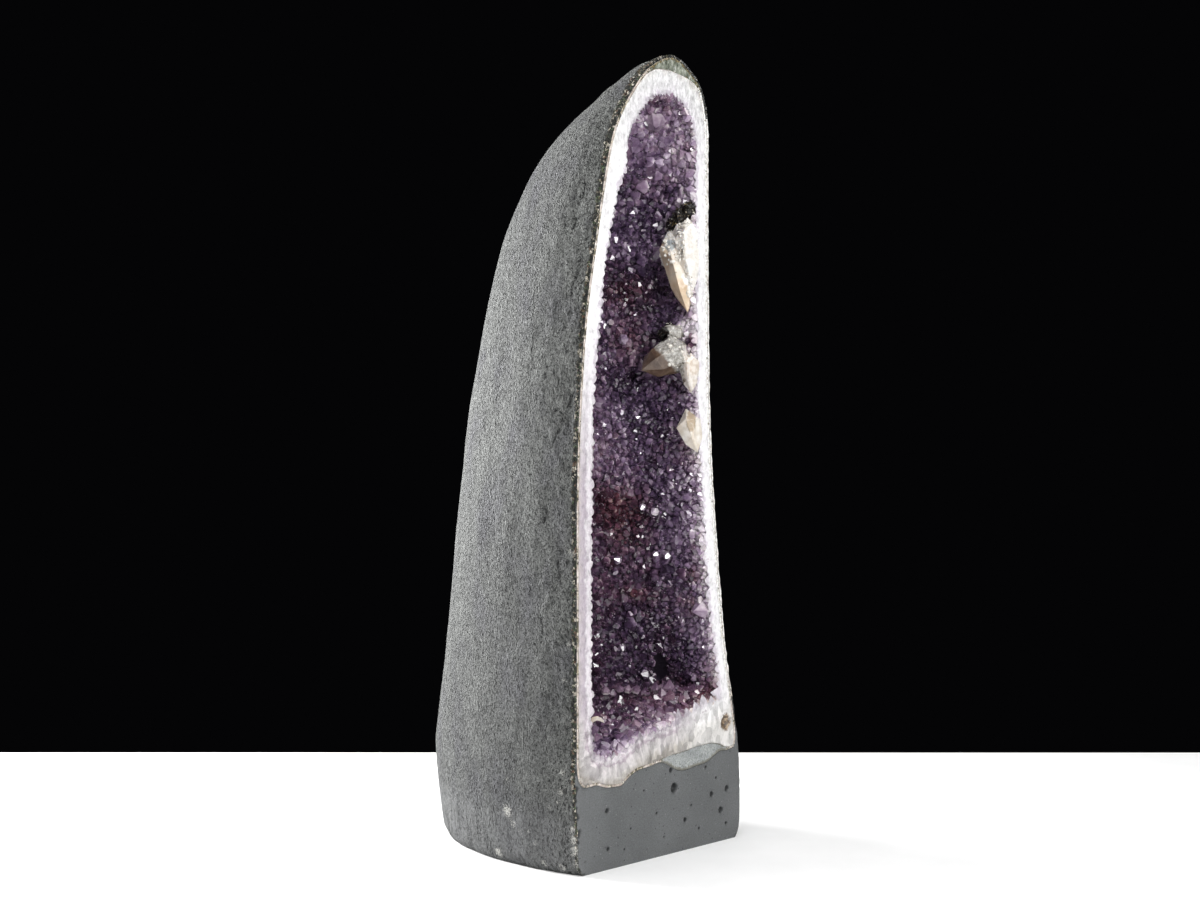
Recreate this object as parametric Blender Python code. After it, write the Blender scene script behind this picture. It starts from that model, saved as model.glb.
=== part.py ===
"""An amethyst cathedral geode: a tall egg of rock, sawn down its front and standing on its flat foot.

It is built in the frame of its sawn face, in millimetres: u runs to the right along the foot of the
face from its near corner, v runs back into the stone, and h is the height. The finished object is in
metres, +Z up, with the sawn face towards -Y and the origin at the bottom centre of its bounding box.
"""

import random
from math import pi, radians, sqrt

import bmesh
import bpy
import numpy as np
from mathutils import Matrix, Vector, noise

MM = 0.001

# The stone's outside: height, left and right edge of the sawn face, and depth behind the face.
BODY = (
    (0, 2, 171, 210),
    (8, -2, 176, 213),
    (35, -4, 177, 218),
    (70, -6, 175, 219),
    (100, -6, 170, 213),
    (150, -6, 160, 202),
    (200, -6, 153.5, 192),
    (250, -6, 148, 184),
    (300, -5, 143.5, 174),
    (350, -2, 141, 164),
    (400, 3, 140, 156),
    (450, 12, 139.5, 146),
    (500, 22, 139.5, 125),
    (530, 29.5, 139.5, 101),
    (550, 38, 139, 80),
    (570, 51.5, 136.5, 56),
    (585, 64, 129.5, 32),
    (595, 76.5, 118, 16),
    (600, 85, 110, 8.5),
    (603, 96, 99, 3),
)
BODY_ROWS = (
    0, 8, 30, 65, 105, 150, 200, 250, 300, 350, 400, 440, 475, 505, 530, 550, 567, 582, 592, 599, 603,
)
BODY_COLUMNS = 22
BELLY = 0.31  # how far behind the face the stone is widest, as a share of its depth
LUMP_SIZE = 75
LUMP_HEIGHT = 2.2

# Where the white quartz ends at the sawn face: its border with the rock, from below up to the crown.
QUARTZ_LEFT = (
    (72, 71), (60, 70), (50, 66.5), (40, 61), (28, 61.5), (15, 65), (5, 64.5), (-0.5, 70), (-2, 82),
    (-2, 150), (-2, 250), (-1, 300), (2, 350), (7, 400), (16, 450), (26, 500), (33.5, 530), (42.5, 550),
    (55, 568), (60.5, 575), (66, 581), (70.5, 585), (76, 588), (84, 590), (95, 590.5),
)
QUARTZ_RIGHT = (
    (72, 71), (90, 74), (110, 75.5), (125, 77.5), (140, 78), (152, 76), (162, 72.5), (168, 73),
    (169.5, 80), (166.5, 100), (156, 150), (149.5, 200), (144, 250), (139.5, 300), (137, 350),
    (136, 400), (135.5, 450), (135.5, 530), (135, 550), (132.3, 567), (129, 577), (125, 582.8), (119, 586.2),
    (110, 588.5), (95, 590.5),
)

# Where the crystals' feet show at the sawn face: the mouth of the hollow.
MOUTH_LEFT = (
    (75, 93.5), (62, 91.5), (50, 87), (38, 81.5), (28, 80.5), (18, 82.5), (12.5, 89), (11, 102),
    (11, 150), (10.5, 200), (11, 250), (11.5, 300), (13.5, 350), (19.5, 400), (27, 450), (34.5, 480),
    (40.5, 500), (46.5, 514), (48, 528), (52, 541), (59.5, 552), (67.5, 562.5), (80, 571), (95, 574.5),
)
MOUTH_RIGHT = (
    (75, 93.5), (90, 96), (105, 99), (120, 103.5), (135, 108.5), (146, 109), (151.5, 113), (151.5, 126),
    (147.5, 150), (139.5, 200), (134.5, 250), (130.5, 300), (127, 350), (125.5, 400), (125, 450),
    (125, 500), (125.5, 530), (123, 550), (117, 562), (107, 571), (95, 574.5),
)

# The deepest line of the hollow: height, place across the face, depth, how square its walls are, and how
# much deeper the quartz reaches.
SPINE = (
    (142, 82, 92, 2.9, 14),
    (200, 75, 101, 2.7, 14),
    (250, 73, 103, 2.7, 14),
    (300, 71, 102, 2.7, 14),
    (350, 70, 99, 2.6, 14),
    (400, 72, 94, 2.5, 14),
    (450, 77, 86, 2.4, 14),
    (500, 85, 68, 2.2, 12),
    (540, 91, 42, 2.0, 8),
)
CRYSTAL_FOOT = 3  # the crystals' feet go this far into the white quartz
GAP = 0.3  # between pieces that touch
LINING_COLUMNS = 28  # on each side of the hollow
LINING_RINGS = 5
# How much closer together the columns stand where the outline runs level.
MOUTH_DENSITY = 0.35
QUARTZ_DENSITY = 1.6

# The green rind between the quartz and the grey outside.
RIND_THIN = 1.6
SKIN_AT_FACE = 1.6  # what the grey skin keeps at the sawn face
CROWN_FROM = 575  # above this the rind comes to fill all that the skin leaves
CROWN_RISE = 8
CROWN_FADE = 5  # how quickly the thick crown thins, going back
LENS_CENTRE = (122, 77)
LENS_SPREAD = 30
LENS_THICKNESS = 13

# The amethyst crystals of the crust.
CELLS_ROUND = 56
CELL_RINGS = 8
CELL_WANDER = 0.22
FRONT_OVERHANG = 8  # crystals that stood here were sawn through
POINT_HEIGHT = (4.5, 8.5)
SMALLEST_CELL = 2.6  # the inner radius below which a cell stays low
STEEPEST = 1.15  # a point's height against its cell's inner radius
POINT_LEAN = 0.4
SEED = 3

# Gas holes in the sawn foot: place across, height, radius.
PITS = (
    (100, 49, 4.2), (96, 63, 2.2), (143, 38, 2.4), (161, 40, 2.6),
    (154, 24, 2.8), (27, 43, 2.0), (112, 23, 2.0),
)

# Dogtooth calcite: the crystal's root and point in u, v, h, its width, and its turn about its length.
CALCITE_UPPER = (
    ((118.5, 20, 470), (120.5, 5, 410), 28.5, 80),
    ((124.5, 14, 479), (119.5, 4, 459), 20, 40),
    ((119.5, 4, 478), (118, 1.5, 436), 22, 20),
    ((122.5, 6, 466), (122, 2, 424), 20, 10),
)
CALCITE_MIDDLE = (
    ((124, 13, 384), (92, 27, 365.5), 33, 15),
    ((127, 11, 373), (117, 7, 370), 18, 5),
    ((123, 4, 376), (121, 2, 348), 18, 30),
    ((125, 15, 394), (107, 20, 398.5), 14, 0),
)
CALCITE_LOWER = (
    ((125.4, 10, 333), (127.8, 1.5, 302.5), 23, 15),
)
# Black goethite grains: centre in u, v, h and radius.
GOETHITE_UPPER = (((122, 20, 479), 6.2), ((122.5, 14, 487), 6.4), ((124, 7, 489.5), 5.8))
GOETHITE_MIDDLE = (((117, 27, 394), 5.4), ((119, 22, 399), 5.2))

COLOURS = {
    "cement_shell": ((0.14, 0.15, 0.147), 0.9),
    "celadonite_rind": ((0.13, 0.16, 0.11), 0.6),
    "quartz_band": ((0.86, 0.84, 0.88), 0.35),
    "amethyst_crust": ((0.17, 0.09, 0.24), 0.12),
    "calcite": ((0.72, 0.58, 0.42), 0.25),
    "goethite": ((0.02, 0.015, 0.012), 0.3),
}


def curve_through(xs, ys):
    """A smooth curve through the points that never overshoots between them."""
    xs = np.asarray(xs, float)
    ys = np.asarray(ys, float)
    steps = np.diff(xs)
    rises = np.diff(ys) / steps
    slopes = np.zeros(len(xs))
    slopes[0], slopes[-1] = rises[0], rises[-1]
    for i in range(1, len(xs) - 1):
        if rises[i - 1] * rises[i] > 0:
            slopes[i] = 2 * rises[i - 1] * rises[i] / (rises[i - 1] + rises[i])

    def at(x):
        i = np.clip(np.searchsorted(xs, x) - 1, 0, len(xs) - 2)
        step = steps[i]
        t = np.clip((x - xs[i]) / step, 0, 1)
        start = (1 + 2 * t) * (1 - t) ** 2 * ys[i] + t * (1 - t) ** 2 * step * slopes[i]
        end = t * t * (3 - 2 * t) * ys[i + 1] - t * t * (1 - t) * step * slopes[i + 1]
        return start + end

    return at


def columns_of(table):
    """One smooth curve for each column of a table whose first column is height."""
    rows = np.array(table, float)
    return [curve_through(rows[:, 0], rows[:, k]) for k in range(1, rows.shape[1])]


face_left, face_right, body_depth = columns_of(BODY)
spine_u, spine_depth, spine_square, quartz_behind = columns_of(SPINE)
SPINE_FOOT, SPINE_TOP = SPINE[0][0], SPINE[-1][0]


def body_section(h, columns=BODY_COLUMNS):
    """The stone's outline at one height: an ellipse cut by the sawn face, from its left edge to its right."""
    left, right, depth = face_left(h), face_right(h), body_depth(h)
    forward = BELLY * depth
    back = depth - forward
    half = (right - left) / 2
    wide = half / sqrt(1 - (forward / back) ** 2)
    start = np.arcsin(forward / back)
    turn = np.linspace(-start, pi + start, columns + 1)
    u = (left + right) / 2 - wide * np.cos(turn)
    v = forward + back * np.sin(turn)
    v[0] = v[-1] = 0
    return np.stack([u, v, np.full(columns + 1, float(h))], 1)


def lump(point):
    """How far a soft swelling or hollow of the stone pushes its outside at this point."""
    u, v, h = point
    away_from_edges = min(1, v / 35) * min(1, h / 45)
    return LUMP_HEIGHT * away_from_edges * noise.noise(Vector((u, v, h * 0.7)) / LUMP_SIZE)


def side_points(chain, count, density):
    """Points along one side of an outline, set closer where it runs level."""
    chain = np.array(chain, float)
    length = np.concatenate([[0], np.cumsum(np.linalg.norm(np.diff(chain, axis=0), axis=1))])
    fine = np.linspace(0, length[-1], 600)
    u, h = curve_through(length, chain[:, 0])(fine), curve_through(length, chain[:, 1])(fine)
    du, dh = np.diff(u), np.diff(h)
    run = np.hypot(du, dh)
    weight = np.concatenate([[0], np.cumsum(run * (1 + density * np.abs(du) / run))])
    wanted = np.linspace(0, weight[-1], count + 1)
    return np.stack([np.interp(wanted, weight, u), np.interp(wanted, weight, h)], 1)


def loop_points(left, right, count, density):
    """A closed outline from its lowest middle up the left side, over the crown and down the right side."""
    up = side_points(left, count, density)
    down = side_points(right, count, density)[::-1]
    return np.concatenate([up[:-1], down[:-1]])


def bowl(left, right, count, rings, density, lining=0):
    """A hollow behind an outline, as columns of points that run back to its spine; a lining goes deeper."""
    loop = loop_points(left, right, count, density)
    turns = np.linspace(0, pi / 2, 80)
    columns = []
    for i, (u, h) in enumerate(loop):
        partner = loop[-i % len(loop)]
        middle = min(max((h + partner[1]) / 2, SPINE_FOOT), SPINE_TOP)
        power = 2 / spine_square(middle)
        across, back = np.cos(turns) ** power, np.sin(turns) ** power
        across[-1] = 0
        deep = spine_depth(middle) + lining * quartz_behind(middle)
        fine = np.stack(
            [
                spine_u(middle) + (u - spine_u(middle)) * across,
                deep * back,
                middle + (h - middle) * across,
            ],
            1,
        )
        length = np.concatenate([[0], np.cumsum(np.linalg.norm(np.diff(fine, axis=0), axis=1))])
        wanted = np.linspace(0, length[-1], rings + 1)
        columns.append(np.stack([np.interp(wanted, length, fine[:, k]) for k in range(3)], 1))
    return np.array(columns)


def outward(columns):
    """Unit vectors out of the hollow, into the stone, at each point of a bowl; straight back at its spine."""
    around = np.roll(columns, -1, 0) - np.roll(columns, 1, 0)
    along = np.gradient(columns, axis=1)
    normals = np.cross(around, along)
    normals[:, -1] = (0, 1, 0)
    normals[:, 0, 1] = 0
    normals /= np.linalg.norm(normals, axis=2, keepdims=True)
    return normals


def grown(columns, by):
    """The bowl moved out into the stone by a distance, or by one distance for each of its points."""
    return columns + outward(columns) * np.broadcast_to(by, columns.shape[:2])[..., None]


def add_object(name, bm, collection):
    """Makes a mesh object of a bmesh, in metres about the object's origin."""
    bmesh.ops.transform(bm, matrix=TO_ORIGIN, verts=bm.verts)
    bmesh.ops.recalc_face_normals(bm, faces=bm.faces)
    mesh = bpy.data.meshes.new(name)
    bm.to_mesh(mesh)
    bm.free()
    obj = bpy.data.objects.new(name, mesh)
    collection.objects.link(obj)
    return obj


def plug(columns, front):
    """A closed bmesh that fills a bowl, reaching forward of the sawn face to v = front if that is below 0."""
    bm = bmesh.new()
    if front < 0:
        lip = columns[:, :1].copy()
        lip[:, 0, 1] = front
        columns = np.concatenate([lip, columns], 1)
    grid = [[bm.verts.new(p) for p in column] for column in columns]
    for i, column in enumerate(grid):
        after = grid[(i + 1) % len(grid)]
        for j in range(len(column) - 1):
            bm.faces.new((column[j], after[j], after[j + 1]))
            bm.faces.new((column[j], after[j + 1], column[j + 1]))
    bm.faces.new([column[0] for column in reversed(grid)])
    bmesh.ops.remove_doubles(bm, verts=bm.verts, dist=0.01)
    return bm


def stone_body():
    """The sawn egg of stone, whole."""
    bm = bmesh.new()
    rows = []
    for h in BODY_ROWS:
        section = body_section(h)
        middle = section.mean(0)
        points = []
        for point in section:
            out = Vector(point - middle).normalized()
            points.append(bm.verts.new(Vector(point) + out * lump(point)))
        rows.append(points)
    for low, high in zip(rows, rows[1:]):
        for i in range(BODY_COLUMNS):
            bm.faces.new((low[i], low[i + 1], high[i + 1], high[i]))
    bm.faces.new(rows[0])
    bm.faces.new(rows[-1])
    bm.faces.new([row[0] for row in rows] + [row[-1] for row in reversed(rows)])
    return bm


def cut(target, cutter):
    """Takes the cutter's shape out of the target."""
    take = target.modifiers.new("cut_" + cutter.name, "BOOLEAN")
    take.operation = "DIFFERENCE"
    take.object = cutter
    take.solver = "EXACT"


def join(target, piece):
    """Joins a piece into the target as one solid."""
    add = target.modifiers.new("join_" + piece.name, "BOOLEAN")
    add.operation = "UNION"
    add.object = piece
    add.solver = "EXACT"


def rind_thickness(quartz):
    """How thick the green rind is outside each point of the quartz: thick only at the crown and in a lens."""
    heights = np.linspace(0, 603, 400)
    edge = np.concatenate(
        [
            np.stack([[face_left(h) for h in heights], heights], 1),
            np.stack([[face_right(h) for h in heights], heights], 1),
        ]
    )
    thickness = np.full(quartz.shape[:2], float(RIND_THIN))
    for i, column in enumerate(quartz):
        at_face = column[0, [0, 2]]
        room = np.linalg.norm(edge - at_face, axis=1).min() - SKIN_AT_FACE - 2 * GAP
        lens = np.exp(-(((at_face[0] - LENS_CENTRE[0]) / LENS_SPREAD) ** 4)) * (at_face[1] < 90)
        crown = min(max((at_face[1] - CROWN_FROM) / CROWN_RISE, 0), 1)
        wanted = LENS_THICKNESS * lens + max(room - RIND_THIN, 0) * crown
        fade = np.exp(-column[:, 1] / CROWN_FADE)
        thickness[i] += max(min(wanted, room - RIND_THIN), 0) * fade
    return thickness


def crust_front():
    """The crystals' surface: a honeycomb of cells over the hollow's wall, each raised to a flat point."""
    rng = random.Random(SEED)
    base = bowl(MOUTH_LEFT, MOUTH_RIGHT, CELLS_ROUND, CELL_RINGS, MOUTH_DENSITY)
    over = base[:, :1].copy()
    over[:, 0, 1] = -FRONT_OVERHANG
    base = np.concatenate([over, base], 1)
    normals = -outward(base)
    around = (np.roll(base, -1, 0) - np.roll(base, 1, 0)) / 2
    along = np.gradient(base, axis=1)
    half_columns, rings = base.shape[:2]
    points = base.copy()
    for m in range(half_columns):
        for j in range(1, rings - 1):
            zigzag = (1 / 6) * (1 if (m + j) % 2 else -1)
            wander = [rng.uniform(-CELL_WANDER, CELL_WANDER) for _ in range(2)]
            points[m, j] += around[m, j] * 2 * wander[0] + along[m, j] * (zigzag + wander[1])
            points[m, j] += normals[m, j] * rng.uniform(-0.08, 0.08) * np.linalg.norm(around[m, j])
    points[:, 0, 1] = -FRONT_OVERHANG
    bm = bmesh.new()
    lip = points[:, :1].copy()
    lip[:, 0, 1] = -3 * FRONT_OVERHANG
    points = np.concatenate([lip, points], 1)
    grid = [[bm.verts.new(p) for p in column] for column in points]
    for m in range(half_columns):
        after = grid[(m + 1) % half_columns]
        bm.faces.new((grid[m][0], after[0], after[1], grid[m][1]))
    cells = []
    for j in range(1, rings):
        for k in range(0, half_columns, 2):
            low = [(k + (j % 2) + step) % half_columns for step in range(3)]
            ring = [grid[m][j] for m in low] + [grid[m][j + 1] for m in reversed(low)]
            cells.append(bm.faces.new(ring))
    bm.faces.new([column[0] for column in reversed(grid)])
    bm.normal_update()
    for cell in cells:
        inner_radius = 2 * cell.calc_area() / cell.calc_perimeter()
        if inner_radius < SMALLEST_CELL:
            continue
        height = min(rng.uniform(*POINT_HEIGHT), STEEPEST * inner_radius)
        made = bmesh.ops.poke(bm, faces=[cell], offset=-height)
        lean = Vector([rng.uniform(-POINT_LEAN, POINT_LEAN) * inner_radius for _ in range(3)])
        made["verts"][0].co += lean
    bmesh.ops.remove_doubles(bm, verts=bm.verts, dist=0.01)
    return bm


def dogtooth(root, point, width, turn, grow=0.0):
    """A calcite crystal: a steep six-sided pyramid about a zigzag girth, with a blunter three-sided tip."""
    root, point = Vector(root), Vector(point)
    axis = (point - root).normalized()
    length = (point - root).length
    side = axis.orthogonal().normalized()
    bm = bmesh.new()
    bm.verts.new(point + axis * grow * 2)
    bm.verts.new(root - axis * (0.12 * length + grow * 2))
    for i in range(6):
        arm = Matrix.Rotation(radians(turn + 60 * i), 3, axis) @ side
        for share, girth in ((0.3, 1.0), (0.74, 0.66)) if i % 2 else ((0.16, 0.84), (0.66, 0.62)):
            bm.verts.new(root + axis * length * share + arm * (width / 2 * girth + grow))
    bmesh.ops.convex_hull(bm, input=bm.verts)
    return bm


def grain(centre, radius, grow=0.0):
    """One rough black grain."""
    bm = bmesh.new()
    bmesh.ops.create_icosphere(bm, subdivisions=1, radius=radius + grow)
    for vertex in bm.verts:
        vertex.co += Vector(centre)
    return bm


def grown_together(name, make, members, collection, grow=0.0):
    """Overlapping crystals or grains as one solid, each a little larger all round if grow is over 0."""
    whole = add_object(name, make(*members[0], grow=grow), collection)
    for i, member in enumerate(members[1:], start=1):
        join(whole, add_object(f"{name}_{i}", make(*member, grow=grow), cutters))
    return whole


def finish(obj, colour, roughness):
    """Gives a piece its own material."""
    material = bpy.data.materials.new(obj.name)
    material.use_nodes = True
    shader = material.node_tree.nodes["Principled BSDF"]
    shader.inputs["Base Color"].default_value = (*colour, 1)
    shader.inputs["Roughness"].default_value = roughness
    obj.data.materials.append(material)


def body_bounds():
    """The stone's lowest and highest u and v."""
    bm = stone_body()
    points = np.array([vertex.co[:] for vertex in bm.verts])
    bm.free()
    return points.min(0), points.max(0)


for old in list(bpy.data.objects):
    bpy.data.objects.remove(old)
part = bpy.data.collections.new("amethyst_cathedral_geode")
cutters = bpy.data.collections.new("cutters")
for group in (part, cutters):
    bpy.context.scene.collection.children.link(group)

lowest, highest = body_bounds()
TO_ORIGIN = Matrix.Scale(MM, 4) @ Matrix.Translation(
    (-(lowest[0] + highest[0]) / 2, -(lowest[1] + highest[1]) / 2, 0)
)

# The layers, each a bowl inside the next.
mouth = bowl(MOUTH_LEFT, MOUTH_RIGHT, LINING_COLUMNS, LINING_RINGS, MOUTH_DENSITY)
quartz = bowl(QUARTZ_LEFT, QUARTZ_RIGHT, LINING_COLUMNS, LINING_RINGS, QUARTZ_DENSITY, lining=1)
rind = rind_thickness(quartz)
FRONT_OF_FACE = -20

shell = add_object("cement_shell", stone_body(), part)
shell_hollow = add_object("shell_hollow", plug(grown(quartz, rind + 2 * GAP), FRONT_OF_FACE), cutters)
cut(shell, shell_hollow)

rind_piece = add_object("celadonite_rind", plug(grown(quartz, rind + GAP), 0), part)
rind_hollow = add_object("rind_hollow", plug(grown(quartz, GAP), FRONT_OF_FACE), cutters)
cut(rind_piece, rind_hollow)

band = add_object("quartz_band", plug(quartz, 0), part)
band_hollow = add_object("band_hollow", plug(grown(mouth, CRYSTAL_FOOT), FRONT_OF_FACE), cutters)
cut(band, band_hollow)

crust = add_object("amethyst_crust", plug(grown(mouth, CRYSTAL_FOOT - GAP), 0), part)
crystals = add_object("crystal_space", crust_front(), cutters)
cut(crust, crystals)

# What grew on the crystals: calcite and goethite, each in its own socket.
sawn_away = bmesh.new()
bmesh.ops.create_cube(sawn_away, size=1)
bmesh.ops.scale(sawn_away, vec=(400, 60, 900), verts=sawn_away.verts)
bmesh.ops.translate(sawn_away, vec=(90, -30, 300), verts=sawn_away.verts)
saw = add_object("sawn_away", sawn_away, cutters)

growths = (
    ("calcite_upper", dogtooth, CALCITE_UPPER, ()),
    ("calcite_middle", dogtooth, CALCITE_MIDDLE, ()),
    ("calcite_lower", dogtooth, CALCITE_LOWER, ()),
    ("goethite_upper", grain, GOETHITE_UPPER, ("calcite_upper",)),
    ("goethite_middle", grain, GOETHITE_MIDDLE, ("calcite_middle",)),
)
sockets = {}
for name, make, members, neighbours in growths:
    growth = grown_together(name, make, members, part)
    cut(growth, saw)
    for neighbour in neighbours:
        cut(growth, sockets[neighbour])
    sockets[name] = grown_together(name + "_socket", make, members, cutters, grow=1.4 * GAP)
for socket in sockets.values():
    cut(crust, socket)
    cut(band, socket)

for i, (u, h, radius) in enumerate(PITS):
    pit = grain((u, 0.35 * radius, h), radius)
    cut(shell, add_object(f"pit_{i}", pit, cutters))

for obj in part.objects:
    kind = obj.name.split("_")[0]
    finish(obj, *COLOURS[kind if kind in COLOURS else obj.name])
for obj in cutters.objects:
    obj.hide_render = True
    obj.display_type = "WIRE"
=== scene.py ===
"""The looks of an amethyst cathedral geode: grey-coated rock, green rind, white quartz and a purple druse.

Shapes are worked out in the frame of the sawn face, in millimetres: u runs to the right along the foot
of the face, v runs back into the stone, and h is the height.
"""

import random
from math import cos, exp, pi, radians, sin, sqrt

import bmesh
import bpy
import numpy as np
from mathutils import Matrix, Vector, noise
from mathutils.geometry import delaunay_2d_cdt


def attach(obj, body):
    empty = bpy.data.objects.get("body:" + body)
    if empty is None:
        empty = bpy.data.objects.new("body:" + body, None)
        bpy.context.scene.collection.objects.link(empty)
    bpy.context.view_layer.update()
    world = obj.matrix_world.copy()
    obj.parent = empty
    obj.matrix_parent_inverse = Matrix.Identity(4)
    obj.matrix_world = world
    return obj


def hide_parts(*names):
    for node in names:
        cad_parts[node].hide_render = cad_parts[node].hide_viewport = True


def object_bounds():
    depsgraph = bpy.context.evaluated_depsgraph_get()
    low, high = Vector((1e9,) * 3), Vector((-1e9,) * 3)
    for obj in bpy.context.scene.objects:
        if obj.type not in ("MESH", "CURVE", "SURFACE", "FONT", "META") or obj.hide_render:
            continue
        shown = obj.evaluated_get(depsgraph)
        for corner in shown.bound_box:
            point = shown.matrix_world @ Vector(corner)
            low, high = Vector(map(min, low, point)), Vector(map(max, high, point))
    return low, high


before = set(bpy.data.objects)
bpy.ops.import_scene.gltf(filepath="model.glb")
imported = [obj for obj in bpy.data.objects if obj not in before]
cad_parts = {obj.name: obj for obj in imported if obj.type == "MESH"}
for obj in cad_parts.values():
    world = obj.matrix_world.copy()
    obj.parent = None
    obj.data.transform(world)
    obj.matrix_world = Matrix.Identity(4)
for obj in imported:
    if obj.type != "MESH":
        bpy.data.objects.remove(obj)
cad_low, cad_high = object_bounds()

MM = 0.001
WIDEST_LEFT = -17.115  # the lowest u that the stone reaches
HEIGHT = 603
CORNER = np.array([cad_low[0] - WIDEST_LEFT * MM, cad_low[1], 0])  # the near corner of the foot

# The stone's outside: height, left and right edge of the sawn face, and depth behind the face.
BODY = (
    (0, 2, 171, 210),
    (8, -2, 176, 213),
    (35, -4, 177, 218),
    (70, -6, 175, 219),
    (100, -6, 170, 213),
    (150, -6, 160, 202),
    (200, -6, 153.5, 192),
    (250, -6, 148, 184),
    (300, -5, 143.5, 174),
    (350, -2, 141, 164),
    (400, 3, 140, 156),
    (450, 12, 139.5, 146),
    (500, 22, 139.5, 125),
    (530, 29.5, 139.5, 101),
    (550, 38, 139, 80),
    (570, 51.5, 136.5, 56),
    (585, 64, 129.5, 32),
    (595, 76.5, 118, 16),
    (600, 85, 110, 8.5),
    (603, 96, 99, 3),
)
BELLY = 0.31  # how far behind the face the stone is widest, as a share of its depth
CLOSER_AT_LEFT = 1.25  # the power that sets the skin's points closer beside the left edge
LUMP_SIZE = 75
LUMP_HEIGHT = 2.2
QUARTZ_LEFT = (
    (72, 71), (60, 70), (50, 66.5), (40, 61), (28, 61.5), (15, 65), (5, 64.5), (-0.5, 70), (-2, 82),
    (-2, 150), (-2, 250), (-1, 300), (2, 350), (7, 400), (16, 450), (26, 500), (33.5, 530), (42.5, 550),
    (55, 568), (60.5, 575), (66, 581), (70.5, 585), (76, 588), (84, 590), (95, 590.5),
)
QUARTZ_RIGHT = (
    (72, 71), (90, 74), (110, 75.5), (125, 77.5), (140, 78), (152, 76), (162, 72.5), (168, 73),
    (169.5, 80), (166.5, 100), (156, 150), (149.5, 200), (144, 250), (139.5, 300), (137, 350),
    (136, 400), (135.5, 450), (135.5, 530), (135, 550), (132.3, 567), (129, 577), (125, 582.8), (119, 586.2),
    (110, 588.5), (95, 590.5),
)
MOUTH_LEFT = (
    (75, 93.5), (62, 91.5), (50, 87), (38, 81.5), (28, 80.5), (18, 82.5), (12.5, 89), (11, 102),
    (11, 150), (10.5, 200), (11, 250), (11.5, 300), (13.5, 350), (19.5, 400), (27, 450), (34.5, 480),
    (40.5, 500), (46.5, 514), (48, 528), (52, 541), (59.5, 552), (67.5, 562.5), (80, 571), (95, 574.5),
)
MOUTH_RIGHT = (
    (75, 93.5), (90, 96), (105, 99), (120, 103.5), (135, 108.5), (146, 109), (151.5, 113), (151.5, 126),
    (147.5, 150), (139.5, 200), (134.5, 250), (130.5, 300), (127, 350), (125.5, 400), (125, 450),
    (125, 500), (125.5, 530), (123, 550), (117, 562), (107, 571), (95, 574.5),
)
# The deepest line of the hollow: height, place across the face, depth, how square its walls are, and how
# much deeper the quartz reaches.
SPINE = (
    (142, 82, 92, 2.9, 14),
    (200, 75, 101, 2.7, 14),
    (250, 73, 103, 2.7, 14),
    (300, 71, 102, 2.7, 14),
    (350, 70, 99, 2.6, 14),
    (400, 72, 94, 2.5, 14),
    (450, 77, 86, 2.4, 14),
    (500, 85, 68, 2.2, 12),
    (540, 91, 42, 2.0, 8),
)
CRYSTAL_FOOT = 3  # how far the quartz lies behind the foot of the crystals
GAP = 0.3  # between one piece and the next
RIND_THIN = 1.6
SKIN_AT_FACE = 1.6
CROWN_FROM = 575  # above this the rind comes to fill all that the skin leaves
CROWN_RISE = 8
CROWN_FADE = 5
LENS_AT = 122  # the place across the face of the pale lens in the foot
LENS_SPREAD = 30
LENS_THICKNESS = 13
LENS_BELOW = 90
OUTLINE_STEPS = 1500  # how finely an outline is measured before its points are set
ARC_STEPS = 120  # how finely a way from the mouth to the spine is measured

# Gas holes in the sawn foot: place across, height, radius.
PITS = (
    (100, 49, 4.2), (96, 63, 2.2), (143, 38, 2.4), (161, 40, 2.6), (154, 24, 2.8), (27, 43, 2.0),
    (112, 23, 2.0), (28, 15, 1.6), (80, 33, 1.2), (136, 60, 1.3), (160, 13, 1.4), (128, 14, 1.2),
    (52, 26, 1.0), (66, 52, 0.9), (119, 33, 1.0), (45, 12, 0.9), (88, 14, 0.9), (148, 50, 1.1),
)


def curve_through(xs, ys):
    """A smooth curve through the points that never overshoots between them."""
    xs = np.asarray(xs, float)
    ys = np.asarray(ys, float)
    steps = np.diff(xs)
    rises = np.diff(ys) / steps
    slopes = np.zeros(len(xs))
    slopes[0], slopes[-1] = rises[0], rises[-1]
    for i in range(1, len(xs) - 1):
        if rises[i - 1] * rises[i] > 0:
            slopes[i] = 2 * rises[i - 1] * rises[i] / (rises[i - 1] + rises[i])

    def at(x):
        i = np.clip(np.searchsorted(xs, x) - 1, 0, len(xs) - 2)
        step = steps[i]
        t = np.clip((x - xs[i]) / step, 0, 1)
        start = (1 + 2 * t) * (1 - t) ** 2 * ys[i] + t * (1 - t) ** 2 * step * slopes[i]
        end = t * t * (3 - 2 * t) * ys[i + 1] - t * t * (1 - t) * step * slopes[i + 1]
        return start + end

    return at


def columns_of(table):
    """One smooth curve for each column of a table whose first column is height."""
    rows = np.array(table, float)
    return [curve_through(rows[:, 0], rows[:, k]) for k in range(1, rows.shape[1])]


face_left, face_right, body_depth = columns_of(BODY)
spine_u, spine_depth, spine_square, quartz_behind = columns_of(SPINE)
SPINE_FOOT, SPINE_TOP = SPINE[0][0], SPINE[-1][0]


def to_metres(points):
    """Face coordinates in millimetres to the object's frame in metres."""
    return np.asarray(points, float) * MM + CORNER


def to_face(points):
    """The object's frame in metres to face coordinates in millimetres."""
    return (np.asarray(points, float) - CORNER) / MM


def noise_at(points, size, seed=0, stretch=(1, 1, 1)):
    """Smooth noise from about -1 to 1 at each point, with lumps of the given size."""
    scaled = np.asarray(points, float) / (np.array(stretch, float) * size) + seed * 17.31
    return np.array([noise.noise(Vector(p)) for p in scaled])


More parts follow.
